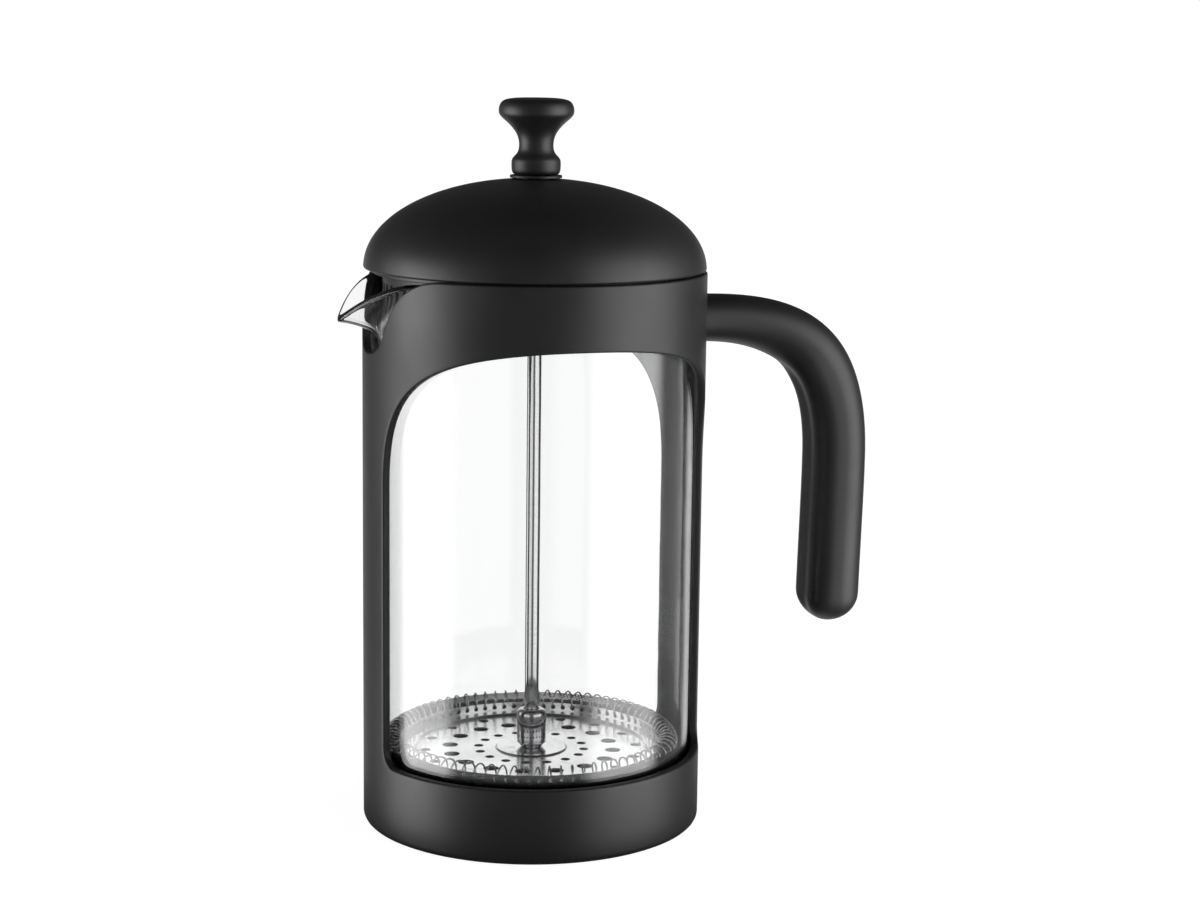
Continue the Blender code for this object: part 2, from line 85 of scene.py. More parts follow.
# %% Read the main sizes
def top_of(node):
    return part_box(node)[1].z


def foot_of(node):
    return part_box(node)[0].z


def radius_of(node):
    """Half the width across Y, which nothing sticks out of on this press."""
    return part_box(node)[1].y


def in_mm(node):
    """A round piece's foot, top and radius in millimetres."""
    return foot_of(node) / MM, top_of(node) / MM, radius_of(node) / MM


FRAME_R = radius_of("carrier_frame")
FRAME_TOP = top_of("carrier_frame")
LID_R = radius_of("lid_dome")
LID_FOOT = foot_of("lid_dome")
GLASS_R = radius_of("glass_beaker")
GLASS_FOOT = foot_of("glass_beaker")
KNOB_TOP = top_of("knob")
KNOB_FOOT = foot_of("knob")
ROD_R = radius_of("plunger_rod")
for label, value in (("carrier radius", FRAME_R), ("carrier top", FRAME_TOP),
                     ("lid radius", LID_R), ("glass radius", GLASS_R), ("knob top", KNOB_TOP)):
    print(f"{label}: {value / MM:.1f} mm")

# %% [markdown]
# ## Camera
#
# A long lens from three quarters of a metre away keeps the tall press from leaning or bulging.
# The camera is built from its own three directions: forward, right and up. A tiny roll is added
# last, because hand-held or tripod cameras are seldom perfectly level.

# %% Set up the camera
def aimed_matrix(place, heading, pitch, roll):
    """A camera matrix from a heading about Z, a downward pitch and a roll."""
    forward = Vector((0, math.cos(pitch), -math.sin(pitch)))
    right = Vector((1, 0, 0))
    up = right.cross(forward)
    turn = Matrix.Rotation(heading, 3, "Z")
    forward, right, up = turn @ forward, turn @ right, turn @ up
    rolled_right = math.cos(roll) * right + math.sin(roll) * up
    rolled_up = math.cos(roll) * up - math.sin(roll) * right
    matrix = Matrix((rolled_right, rolled_up, -forward)).transposed().to_4x4()
    matrix.translation = place
    return matrix


CAMERA_AZIMUTH = math.radians(-17.5)
CAMERA_DISTANCE = 0.75889
CAMERA_HEIGHT = 0.24616
CAMERA_TURN = math.radians(-1.57213)
CAMERA_PITCH = math.radians(9.58167)
CAMERA_ROLL = math.radians(0.74788)
camera_data = bpy.data.cameras.new("studio_camera")
camera_data.lens = 73.5
camera_data.sensor_width = 36.0
camera_data.clip_start = 0.01
camera_data.clip_end = 50.0
camera = bpy.data.objects.new("studio_camera", camera_data)
bpy.context.scene.collection.objects.link(camera)
camera.matrix_world = aimed_matrix(
    Vector((CAMERA_DISTANCE * math.sin(CAMERA_AZIMUTH),
            -CAMERA_DISTANCE * math.cos(CAMERA_AZIMUTH), CAMERA_HEIGHT)),
    CAMERA_AZIMUTH + CAMERA_TURN, CAMERA_PITCH, CAMERA_ROLL)
bpy.context.scene.camera = camera
print(f"camera {CAMERA_DISTANCE:.3f} m away, {CAMERA_HEIGHT:.3f} m up, {camera_data.lens} mm lens")

# %% [markdown]
# ## Nodes without tears
#
# Materials and Geometry Nodes are both built from nodes. One helper adds a node, sets its
# options and fills its inputs, where an input is either a plain value or another node's output.

# %% Node helpers
def add(tree, kind, inputs=None, **options):
    node = tree.nodes.new(kind)
    for option, value in options.items():
        setattr(node, option, value)
    for socket, value in (inputs or {}).items():
        if isinstance(value, bpy.types.NodeSocket):
            tree.links.new(value, node.inputs[socket])
        else:
            node.inputs[socket].default_value = value
    return node


def calc(tree, operation, a, b=0.0, c=0.5):
    """One sum in a node tree; a, b and c are numbers or outputs."""
    return add(tree, "ShaderNodeMath", {0: a, 1: b, 2: c}, operation=operation).outputs[0]


def times(tree, a, b):
    return calc(tree, "MULTIPLY", a, b)


def plus(tree, a, b):
    return calc(tree, "ADD", a, b)


def minus(tree, a, b):
    return calc(tree, "SUBTRACT", a, b)


def xyz(tree, x=0.0, y=0.0, z=0.0):
    """Three numbers or outputs become one vector."""
    return add(tree, "ShaderNodeCombineXYZ", {0: x, 1: y, 2: z}).outputs[0]


def spread(tree, value, low, high, to_low=0.0, to_high=1.0, smooth=False):
    """Stretches a value from one range to another and clamps it there."""
    return add(tree, "ShaderNodeMapRange", {0: value, 1: low, 2: high, 3: to_low, 4: to_high},
               interpolation_type="SMOOTHSTEP" if smooth else "LINEAR").outputs[0]


def tinted(tree, factor, colour_a, colour_b):
    node = add(tree, "ShaderNodeMix", {0: factor}, data_type="RGBA")
    node.inputs[6].default_value = (*colour_a, 1.0)
    node.inputs[7].default_value = (*colour_b, 1.0)
    return node.outputs[2]


def noise(tree, position, size, detail, **more):
    """A noise pattern whose patches are about as large as the given size."""
    return add(tree, "ShaderNodeTexNoise", {
        "Vector": position, "Scale": calc(tree, "DIVIDE", 1.0, size), "Detail": detail,
        **more}).outputs[0]


def new_group(kind, name, inputs, outputs):
    """An empty node group with named sockets: its tree, its input node, its output node."""
    tree = bpy.data.node_groups.new(name, kind)
    for label, socket_type, value in inputs:
        socket = tree.interface.new_socket(label, in_out="INPUT", socket_type=socket_type)
        if value is not None:
            socket.default_value = value
    for label, socket_type in outputs:
        tree.interface.new_socket(label, in_out="OUTPUT", socket_type=socket_type)
    return tree, add(tree, "NodeGroupInput"), add(tree, "NodeGroupOutput")


FLOAT, VECTOR = "NodeSocketFloat", "NodeSocketVector"
INT, MATERIAL, GEOMETRY = "NodeSocketInt", "NodeSocketMaterial", "NodeSocketGeometry"
print("node helpers ready")

# %% [markdown]
# ## Moulded skin
#
# Black plastic from a spark-eroded mould isn't smooth. It has a very fine even grain, which
# spreads every reflection into a soft sheen, and broad faint patches where the plastic flowed
# and cooled. Two noise patterns give both: one a fraction of a millimetre across for the bump,
# one a few centimetres across that shifts roughness and tone. They sit in one group, since the
# pad and the plastic share it with sizes of their own.

# %% Group: moulded skin
skin_group, skin_in, skin_out = new_group(
    "ShaderNodeTree", "moulded_skin",
    [("Position", VECTOR, None), ("Grain Size", FLOAT, 0.0003), ("Patch Size", FLOAT, 0.03)],
    [("Height", FLOAT), ("Tone", FLOAT)])
given = skin_in.outputs
grain = noise(skin_group, given["Position"], given["Grain Size"], 2.0, Roughness=0.6)
patches = noise(skin_group, given["Position"], given["Patch Size"], 3.0, Roughness=0.55)
skin_group.links.new(grain, skin_out.inputs["Height"])
skin_group.links.new(spread(skin_group, patches, 0.35, 0.65), skin_out.inputs["Tone"])
print("group:", skin_group.name)

# %% [markdown]
# ## Handling marks
#
# Anything that is picked up carries faint smudges. On gloss they only change how sharp a
# reflection is, so this group puts out a mask that a material mixes into its roughness. A
# warped noise cut off near its peaks gives scattered soft islands with nothing between them.

# %% Group: handling marks
marks_group, marks_in, marks_out = new_group(
    "ShaderNodeTree", "handling_marks",
    [("Position", VECTOR, None), ("Size", FLOAT, 0.02)], [("Mask", FLOAT)])
smudges = noise(marks_group, marks_in.outputs["Position"], marks_in.outputs["Size"], 4.0,
                Roughness=0.62, Distortion=0.6)
marks_group.links.new(spread(marks_group, smudges, 0.52, 0.74, smooth=True),
                      marks_out.inputs["Mask"])
print("group:", marks_group.name)

# %% [markdown]
# ## Turned metal
#
# A rod, a hub or a pressed disc is polished while it spins, so its finest scratches run round
# the axis. Noise that only knows the distance from the axis and the height, and not the angle,
# draws exactly such rings. A second, broad noise breaks them up so that they don't look ruled.

# %% Group: turned metal
turned_group, turned_in, turned_out = new_group(
    "ShaderNodeTree", "turned_metal",
    [("Position", VECTOR, None), ("Line Spacing", FLOAT, 0.0004)],
    [("Height", FLOAT), ("Tone", FLOAT)])
axes = add(turned_group, "ShaderNodeSeparateXYZ", {0: turned_in.outputs["Position"]}).outputs
from_axis = calc(turned_group, "SQRT", plus(
    turned_group, times(turned_group, axes[0], axes[0]), times(turned_group, axes[1], axes[1])))
rings = noise(turned_group, xyz(turned_group, from_axis, 0.0, axes[2]),
              turned_in.outputs["Line Spacing"], 2.0)
cloud = add(turned_group, "ShaderNodeTexNoise", {
    "Vector": turned_in.outputs["Position"], "Scale": 60.0, "Detail": 3.0}).outputs[0]
turned_group.links.new(rings, turned_out.inputs["Height"])
turned_group.links.new(times(turned_group, spread(turned_group, rings, 0.3, 0.7),
                             spread(turned_group, cloud, 0.3, 0.7)), turned_out.inputs["Tone"])
print("group:", turned_group.name)

# %% [markdown]
# ## Woven wire
#
# The filter cloth is woven from hair-thin wires. At a hand's distance nobody can tell the
# wires from a pattern, so the cloth stays a thin shell and the weave is drawn on its unfolded
# surface: two sets of threads, each passing over and under the other, and holes between them.

# %% Group: woven wire
weave_group, weave_in, weave_out = new_group(
    "ShaderNodeTree", "woven_wire",
    [("Cloth", VECTOR, None), ("Thread Share", FLOAT, 0.5)],
    [("Height", FLOAT), ("Cover", FLOAT)])
threads = add(weave_group, "ShaderNodeSeparateXYZ", {0: weave_in.outputs["Cloth"]}).outputs
half_thread = times(weave_group, weave_in.outputs["Thread Share"], 0.5)
waves, covers = [], []
for axis, other, rise in ((0, 1, -0.3), (1, 0, 0.3)):
    across = calc(weave_group, "PINGPONG", threads[axis], 0.5)
    round_top = calc(weave_group, "COSINE", times(weave_group, across, math.pi))
    over = calc(weave_group, "SINE", times(weave_group, threads[other], math.pi))
    waves.append(calc(weave_group, "MULTIPLY_ADD", over, rise, round_top))
    covers.append(calc(weave_group, "LESS_THAN", across, half_thread))
weave_group.links.new(calc(weave_group, "MAXIMUM", *waves), weave_out.inputs["Height"])
weave_group.links.new(calc(weave_group, "MAXIMUM", *covers), weave_out.inputs["Cover"])
print("group:", weave_group.name)

# %% [markdown]
# ## Materials
#
# Every material starts the same way: one Principled shader whose fixed values are typed into
# its own sockets, and the Object coordinates that its patterns are laid out in. Object
# coordinates are real metres here, so a grain of 0.3 mm is 0.3 mm on every piece.

# %% Material helpers
def new_material(name, fixed):
    material = bpy.data.materials.new(name)
    material.use_nodes = True
    tree = material.node_tree
    shader = tree.nodes["Principled BSDF"]
    for socket, value in fixed.items():
        shader.inputs[socket].default_value = value
    place = add(tree, "ShaderNodeTexCoord").outputs["Object"]
    return material, tree, shader, place


def use_group(tree, group, inputs):
    """Places a group in a material and returns what it puts out."""
    return add(tree, "ShaderNodeGroup", inputs, node_tree=group).outputs


def toned(tree, shader, tone, colour_a, colour_b, rough_a, rough_b):
    """Lets one mask shift both the colour and the roughness."""
    tree.links.new(tinted(tree, tone, colour_a, colour_b), shader.inputs["Base Color"])
    tree.links.new(spread(tree, tone, 0.0, 1.0, rough_a, rough_b), shader.inputs["Roughness"])


def bumped(tree, shader, height, strength, distance):
    bump = add(tree, "ShaderNodeBump",
               {"Strength": strength, "Distance": distance, "Height": height})
    tree.links.new(bump.outputs[0], shader.inputs["Normal"])


def metal(name, colour, worn_colour, roughness, spacing, strength):
    """A bare metal with polishing rings and the marks of fingers."""
    material, tree, shader, place = new_material(name, {"Metallic": 1.0})
    polish = use_group(tree, turned_group, {"Position": place, "Line Spacing": spacing})
    smudge = use_group(tree, marks_group, {"Position": place, "Size": 0.012})
    tone = calc(tree, "MAXIMUM", polish["Tone"], smudge["Mask"])
    toned(tree, shader, tone, colour, worn_colour, roughness, roughness * 1.7 + 0.03)
    bumped(tree, shader, polish["Height"], strength, 0.00004)
    return material


print("material helpers ready")

# %% [markdown]
# ## Black plastic and soft pad
#
# The carrier, handle, lid and knob are one satin black plastic. It looks grey only where it
# mirrors a light, so the base colour is nearly black and the sheen is left to the roughness.
# The pad under the glass is silicone: duller, softer, with a coarser skin.

# %% Plastic and silicone
black_plastic, tree, shader, place = new_material("black_plastic", {"IOR": 1.49})
skin = use_group(tree, skin_group, {"Position": place, "Grain Size": 0.00035,
                                    "Patch Size": 0.035})
smudge = use_group(tree, marks_group, {"Position": place, "Size": 0.03})
tree.links.new(tinted(tree, skin["Tone"], (0.0060, 0.0060, 0.0062), (0.0085, 0.0085, 0.0088)),
               shader.inputs["Base Color"])
satin = spread(tree, skin["Tone"], 0.0, 1.0, 0.40, 0.47)
tree.links.new(calc(tree, "MULTIPLY_ADD", smudge["Mask"], -0.05, satin),
               shader.inputs["Roughness"])
bumped(tree, shader, skin["Height"], 0.22, 0.00008)

silicone, tree, shader, place = new_material("silicone", {"IOR": 1.41})
skin = use_group(tree, skin_group, {"Position": place, "Grain Size": 0.0008,
                                    "Patch Size": 0.02})
toned(tree, shader, skin["Tone"], (0.022, 0.022, 0.023), (0.035, 0.035, 0.036), 0.72, 0.86)
bumped(tree, shader, skin["Height"], 0.3, 0.0002)
print("made", black_plastic.name, "and", silicone.name)

# %% [markdown]
# ## Glass
#
# The beaker is blown borosilicate: clear, hard, and never quite even, because it was soft when
# it was shaped. A slow, very shallow wave in the bump bends the reflections a little, and faint
# smudges dull them. Where the wall is seen edge on, a Layer Weight node darkens the glass
# colour: painted shade, standing in for the dark surroundings that a glass edge bends into view
# and mirrors. Light that only casts a shadow passes straight through, which a thin clear wall
# does in life too.

# %% Glass
# Painted shade: the dark colour that the glass turns where its wall is seen edge on.
PAINTED_EDGE_SHADE = (0.16, 0.18, 0.18, 1.0)
clear_glass, tree, shader, place = new_material(
    "clear_glass", {"IOR": 1.47, "Transmission Weight": 1.0, "Metallic": 0.0})
wave = use_group(tree, skin_group, {"Position": place, "Grain Size": 0.028,
                                    "Patch Size": 0.06})
smudge = use_group(tree, marks_group, {"Position": place, "Size": 0.045})
clear = tinted(tree, wave["Tone"], (0.992, 0.996, 0.995), (0.996, 0.998, 0.998))
facing = add(tree, "ShaderNodeLayerWeight", {"Blend": 0.5}).outputs["Facing"]
# Mask of the painted shade along the glass's edges, where the wall is seen edge on.
painted_edge_shade = spread(tree, facing, 0.72, 0.97, smooth=True)
glass_colour = add(tree, "ShaderNodeMix", {0: painted_edge_shade, 6: clear, 7: PAINTED_EDGE_SHADE},
                   data_type="RGBA")
tree.links.new(glass_colour.outputs[2], shader.inputs["Base Color"])
tree.links.new(spread(tree, smudge["Mask"], 0.0, 1.0, 0.0, 0.02), shader.inputs["Roughness"])
bumped(tree, shader, wave["Height"], 0.12, 0.0006)
see_through = add(tree, "ShaderNodeBsdfTransparent", {"Color": (0.94, 0.95, 0.95, 1.0)})
shadow_switch = add(tree, "ShaderNodeMixShader",
                    {0: add(tree, "ShaderNodeLightPath").outputs["Is Shadow Ray"],
                     1: shader.outputs[0], 2: see_through.outputs[0]})
tree.links.new(shadow_switch.outputs[0], tree.nodes["Material Output"].inputs["Surface"])
print("made", clear_glass.name)

# %% [markdown]
# ## Metals
#
# Five finishes, one recipe. The rod is ground and polished, the discs are pressed from bright
# sheet, the spring is drawn wire, the hub is plated and buffed until it mirrors, and the insert
# is plain turned brass. The filter cloth is steel as well, with its weave cut out by the
# shader's Alpha. It is toned much darker, because its crossing wires shade one another.

# %% Metals
rod_steel = metal("rod_steel", (0.80, 0.80, 0.81), (0.70, 0.70, 0.71), 0.07, 0.0005, 0.05)
sheet_steel = metal("sheet_steel", (0.82, 0.82, 0.82), (0.68, 0.68, 0.69), 0.16, 0.0006, 0.16)
spring_steel = metal("spring_steel", (0.78, 0.78, 0.78), (0.62, 0.62, 0.63), 0.12, 0.0012, 0.05)
chrome = metal("chrome_plate", (0.60, 0.60, 0.61), (0.52, 0.52, 0.53), 0.04, 0.0008, 0.03)
brass = metal("turned_brass", (0.80, 0.60, 0.28), (0.62, 0.43, 0.17), 0.2, 0.0005, 0.3)

woven_steel, tree, shader, place = new_material("woven_steel", {"Metallic": 1.0})
cloth = add(tree, "ShaderNodeUVMap", uv_map="cloth").outputs[0]
weave = use_group(tree, weave_group, {"Cloth": cloth})
polish = use_group(tree, turned_group, {"Position": place, "Line Spacing": 0.003})
toned(tree, shader, polish["Tone"], (0.17, 0.17, 0.175), (0.11, 0.11, 0.115), 0.2, 0.34)
tree.links.new(weave["Cover"], shader.inputs["Alpha"])
bumped(tree, shader, weave["Height"], 0.7, 0.00012)
print("made", rod_steel.name, sheet_steel.name, spring_steel.name, chrome.name, brass.name,
      woven_steel.name)

# %% [markdown]
# ## Turning profiles
#
# Most of a press is round, so most of its pieces are an outline spun about the axis. Real
# edges are never razor sharp: each corner of an outline carries its own rounding radius, and a
# helper replaces the corner with an exact arc. A closed outline makes a ring, an open one
# starts and ends on the axis.

# %% Helpers: outlines
def rounded(corners, closed=False, steps=5):
    """Corners as (r, z, rounding) in millimetres become a list of points in metres."""
    count = len(corners)
    points = []
    for i, (r, z, size) in enumerate(corners):
        here = Vector((r, z))
        if size <= 0 or (not closed and i in (0, count - 1)):
            points.append(here)
            continue
        before = Vector(corners[i - 1][:2]) - here
        after = Vector(corners[(i + 1) % count][:2]) - here
        half = before.angle(after) / 2
        reach = size / math.tan(half)
        start = here + before.normalized() * reach
        end = here + after.normalized() * reach
        weight = math.sin(half)
        for k in range(steps + 1):
            t = k / steps
            pull = ((1 - t) ** 2, 2 * t * (1 - t) * weight, t * t)
            points.append((pull[0] * start + pull[1] * here + pull[2] * end) / sum(pull))
    return [(p.x * MM, p.y * MM) for p in points]


def bezier(p0, p1, p2, p3, steps):
    points = []
    for i in range(steps + 1):
        t = i / steps
        weights = ((1 - t) ** 3, 3 * t * (1 - t) ** 2, 3 * t * t * (1 - t), t ** 3)
        points.append(tuple(sum(w * p[k] for w, p in zip(weights, (p0, p1, p2, p3)))
                            for k in range(2)))
    return points


def through(points, steps):
    """A smooth line through every given point (a Catmull-Rom spline)."""
    ends = [2 * Vector(points[0]) - Vector(points[1])] + [Vector(p) for p in points]
    ends.append(2 * Vector(points[-1]) - Vector(points[-2]))
    line = []
    for a, b, c, d in zip(ends, ends[1:], ends[2:], ends[3:]):
        for k in range(steps):
            t = k / steps
            line.append(tuple(0.5 * (2 * b + (c - a) * t + (2 * a - 5 * b + 4 * c - d) * t * t
                                     + (3 * b - a - 3 * c + d) * t ** 3)))
    return line + [tuple(points[-1])]


print("a rounded square corner has", len(rounded([(0, 0, 0), (5, 0, 1), (5, 5, 0)])), "points")

# %% Helpers: meshes
def mesh_piece(name, bm, material, sharp=38):
    """A bmesh becomes a smooth object at the origin, with hard edges where it folds."""
    mesh = bpy.data.meshes.new(name)
    bm.to_mesh(mesh)
    bm.free()
    mesh.materials.append(material)
    mesh.shade_smooth()
    mesh.set_sharp_from_angle(angle=math.radians(sharp))
    piece = bpy.data.objects.new(name, mesh)
    bpy.context.scene.collection.objects.link(piece)
    return piece


def closed_up(bm, merge=0.000002):
    """Merges doubled corners, then turns every face of the closed shell outwards."""
    bmesh.ops.remove_doubles(bm, verts=bm.verts, dist=merge)
    bmesh.ops.recalc_face_normals(bm, faces=bm.faces)
    return bm


def spun(outline, closed=False, steps=128):
    """Spins an outline of (r, z) points about Z into a closed bmesh."""
    bm = bmesh.new()
    verts = [bm.verts.new((r, 0, z)) for r, z in outline]
    pairs = list(zip(verts, verts[1:]))
    if closed:
        pairs.append((verts[-1], verts[0]))
    edges = [bm.edges.new(pair) for pair in pairs]
    bmesh.ops.spin(bm, geom=verts + edges, axis=(0, 0, 1), cent=(0, 0, 0), steps=steps,
                   angle=2 * math.pi, use_merge=True)
    return closed_up(bm)


def turned(name, outline, material, closed=False, steps=128):
    return mesh_piece(name, spun(outline, closed, steps), material)


def one_piece(name, pieces, material):
    """Several meshes that are one moulding or pressing in life become one object."""
    bm = bmesh.new()
    for piece in pieces:
        bm.from_mesh(piece.data)
        bpy.data.objects.remove(piece)
    return mesh_piece(name, bm, material)


def triangles(piece):
    graph = bpy.context.evaluated_depsgraph_get()
    mesh = piece.evaluated_get(graph).to_mesh()
    mesh.calc_loop_triangles()
    return len(mesh.loop_triangles)


pieces = {}


def keep(key, piece):
    pieces[key] = piece
    low = [min(v.co[k] for v in piece.data.vertices) / MM for k in range(3)]
    high = [max(v.co[k] for v in piece.data.vertices) / MM for k in range(3)]
    size = " x ".join(f"{b - a:.1f}" for a, b in zip(low, high))
    print(f"{piece.name}: {size} mm, {triangles(piece)} triangles")
    return piece


print("mesh helpers ready")

# %% [markdown]
# ## Growing pieces with Geometry Nodes
#
# Holes, slots and coils repeat by a rule, so they are grown by Geometry Nodes from a few named
# numbers. The helper sets those numbers, takes the finished shape as a plain mesh and throws
# the modifier away, so that what moves later is only a mesh.

# %% Helper: grow
def grow(name, tree, values, material, sharp=38):
    seed = bpy.data.objects.new(name, bpy.data.meshes.new(name))
    bpy.context.scene.collection.objects.link(seed)
    modifier = seed.modifiers.new("grow", "NODES")
    modifier.node_group = tree
    values = dict(values, Material=material)
    for item in tree.interface.items_tree:
        if item.in_out == "INPUT" and item.name in values:
            modifier[item.identifier] = values.pop(item.name)
    graph = bpy.context.evaluated_depsgraph_get()
    grown_mesh = bpy.data.meshes.new_from_object(seed.evaluated_get(graph))
    seed.modifiers.remove(modifier)
    bpy.data.objects.remove(seed)
    bm = bmesh.new()
    bm.from_mesh(grown_mesh)
    bpy.data.meshes.remove(grown_mesh)
    return mesh_piece(name, closed_up(bm), material, sharp)


print("grow helper ready")

# %% [markdown]
# ## The carrier's outline
#
# The carrier is one moulding: a cup, a ring and two posts, with an arched window front and
# back and a notch for the spout. It is easiest to think of its wall unrolled flat, angle
# across and height up. The windows are closed loops on that sheet, and the top edge is one
# line that dips into the notch.

# %% Window and notch on the unrolled wall
CUP_RIM = 23.4 * MM
WINDOW_TOP = 155.2 * MM
WINDOW_HALF = math.radians(75.9)
WINDOW_SPRING = 111.3 * MM
ARCH_RISE = 29.9 * MM
ARCH_RUN = 0.676
WINDOW_CORNER = 5.5 * MM
NOTCH_HALF = math.radians(42)
NOTCH_WAIST = math.radians(13.4)
NOTCH_WAIST_Z = 156.5 * MM
NOTCH_BOTTOM = 150.4 * MM


def evenly(points, step, closed=True):
    """Walks along a line of (angle, z) and marks it at even steps of true length."""
    flat = np.array([(a * FRAME_R, z) for a, z in points])
    if closed:
        flat = np.vstack([flat, flat[:1]])
    lengths = np.concatenate([[0], np.cumsum(np.hypot(*np.diff(flat, axis=0).T))])
    count = max(3, round(lengths[-1] / step))
    marks = np.linspace(0, lengths[-1], count + 1)
    line = np.column_stack([np.interp(marks, lengths, flat[:, k]) for k in range(2)])
    line[:, 0] /= FRAME_R
    return line[:-1] if closed else line


def window_loop(middle):
    """The window's edge, anticlockwise round its middle angle."""
    arch = bezier((WINDOW_HALF, WINDOW_SPRING), (WINDOW_HALF, WINDOW_SPRING + ARCH_RISE),
                  (WINDOW_HALF * ARCH_RUN, WINDOW_TOP), (0, WINDOW_TOP), 60)
    corner = []
    run = WINDOW_CORNER / FRAME_R
    for k in range(13):
        turn = math.radians(-90 + 90 * k / 12)
        corner.append((WINDOW_HALF - run + run * math.cos(turn),
                       CUP_RIM + WINDOW_CORNER * (1 + math.sin(turn))))
    right = [(0, CUP_RIM)] + corner + arch
    left = [(-a, z) for a, z in reversed(right[1:-1])]
    return evenly([(middle + a, z) for a, z in right + left], 1.3 * MM)


def top_line():
    """The top edge from the notch's bottom, round past the handle, and back to it."""
    flare = bezier((NOTCH_HALF, FRAME_TOP), (NOTCH_HALF * 0.6, FRAME_TOP),
                   (NOTCH_WAIST * 1.24, NOTCH_WAIST_Z + 7 * MM), (NOTCH_WAIST, NOTCH_WAIST_Z), 40)
    toe = bezier((NOTCH_WAIST, NOTCH_WAIST_Z), (NOTCH_WAIST * 0.9, NOTCH_WAIST_Z - 4 * MM),
                 (NOTCH_WAIST * 0.45, NOTCH_BOTTOM), (0, NOTCH_BOTTOM), 20)
    half = [(math.pi - a, z) for a, z in flare + toe[1:]]
    return evenly([(-a, z) for a, z in reversed(half)] + half, 1.2 * MM, closed=False)


front_window = window_loop(-math.pi / 2)
back_window = window_loop(math.pi / 2)
top_edge = top_line()
print("window loops have", len(front_window), "marks, the top edge", len(top_edge))

# %% [markdown]
# ## From sheet to moulding
#
# A Boolean cut would leave long slivers and razor edges. Instead the sheet is triangulated
# between its edge lines, wrapped twice, once at the outer and once at the inner radius, and the
# two skins are joined by strips that follow a small quarter round, a straight reveal and
# another quarter round. That is how a mould leaves a window: crisp, but never sharp.

# %% Helpers: the flat sheet
GRID_STEP = 5 * MM
GRID_GAP = 1.6 * MM


def shifted(line, distance, closed=True):
    """Moves a line sideways, to the right of its direction, by a true distance."""
    flat = np.array(line) * (FRAME_R, 1)
    if closed:
        ahead = np.roll(flat, -1, axis=0) - np.roll(flat, 1, axis=0)
    else:
        ahead = np.gradient(flat, axis=0)
        ahead[0, 1] = ahead[-1, 1] = 0
    ahead /= np.hypot(*ahead.T)[:, None]
    moved = flat + distance * np.column_stack([ahead[:, 1], -ahead[:, 0]])
    moved[:, 0] /= FRAME_R
    return moved


def inside(points, loop):
    """Which points lie inside a closed loop, by counting crossings."""
    x, y = points[:, :1], points[:, 1:]
    ax, ay = loop.T
    bx, by = np.roll(loop, -1, axis=0).T
    crosses = (ay > y) != (by > y)
    with np.errstate(divide="ignore", invalid="ignore"):
        at = ax + (y - ay) * (bx - ax) / (by - ay)
    return (crosses & (x < at)).sum(axis=1) % 2 == 1


def sheet_triangles(foot, holes, lines, columns):
    """Triangulates the unrolled wall above foot, under the first line, outside the holes."""
    top = lines[0]
    angles = np.linspace(-math.pi, math.pi, columns + 1)
    bottom = np.column_stack([angles, np.full(columns + 1, foot)])
    side_z = np.arange(foot + GRID_STEP, top[0, 1] - 2 * MM, GRID_STEP)
    verts, edges = [], []

    def chain(points, closed=False):
        start = sum(len(v) for v in verts)
        verts.append(np.array(points))
        count = len(points)
        edges.extend((start + i, start + i + 1) for i in range(count - 1))
        if closed:
            edges.append((start + count - 1, start))

    left = np.column_stack([np.full(len(side_z), -math.pi), side_z])
    right = np.column_stack([np.full(len(side_z), math.pi), side_z])
    chain(np.vstack([bottom, right, top[::-1], left[::-1]]), closed=True)
    for line in lines[1:]:
        chain(line)
    for rings in holes:
        for ring in rings:
            chain(ring, closed=True)
    levels = np.arange(foot + GRID_STEP, FRAME_TOP, GRID_STEP)
    grid = np.array([(a, z) for a in angles[1:-1] for z in levels])
    edge_points = np.vstack(verts) * (FRAME_R, 1)
    gaps = np.array([np.hypot(*(edge_points - p * (FRAME_R, 1)).T).min() for p in grid])
    outline = np.vstack([bottom, top[::-1]])
    verts.append(grid[(gaps > GRID_GAP) & inside(grid, outline)])
    scaled = [Vector((a * FRAME_R, z)) for a, z in np.vstack(verts)]
    found, _, faces, _, _, _ = delaunay_2d_cdt(scaled, edges, [], 1, 0.0000001)
    found = np.array([tuple(v) for v in found]) / (FRAME_R, 1)
    faces = np.array([tuple(f) for f in faces])
    middles = found[faces].mean(axis=1)
    wanted = inside(middles, outline)
    for rings in holes:
        wanted &= ~inside(middles, rings[0])
    return found, faces[wanted]


print("flat sheet helpers ready")


# %% Helpers: skins and edges
def wrapped(angle, z, radius):
    return Vector((radius * math.cos(angle), radius * math.sin(angle), z))


def add_faces(bm, points, faces):
    verts = [bm.verts.new(p) for p in points]
    for face in faces:
        bm.faces.new([verts[i] for i in face])


def strips(rows, closed):
    """Quads between neighbouring rows of points; every row has the same count."""
    points = [p for row in rows for p in row]
    count = len(rows[0])
    faces = []
    for i in range(len(rows) - 1):
        for k in range(count if closed else count - 1):
            n = (k + 1) % count
            faces.append((i * count + k, i * count + n, (i + 1) * count + n,
                          (i + 1) * count + k))
    return points, faces


def edge_round(bm, line, outer, inner, size, closed):
    """Joins the outer and inner skin along a line by two quarter rounds and a reveal."""
    rows = []
    turns = [math.pi / 2 * k / 4 for k in range(5)]
    for radius, sign, order in ((outer, -1, turns), (inner, 1, turns[::-1])):
        for turn in order:
            row = shifted(line, size * (1 - math.sin(turn)), closed)
            depth = radius + sign * size * (1 - math.cos(turn))
            rows.append([wrapped(a, z, depth) for a, z in row])
    add_faces(bm, *strips(rows, closed))


print("skin and edge helpers ready")

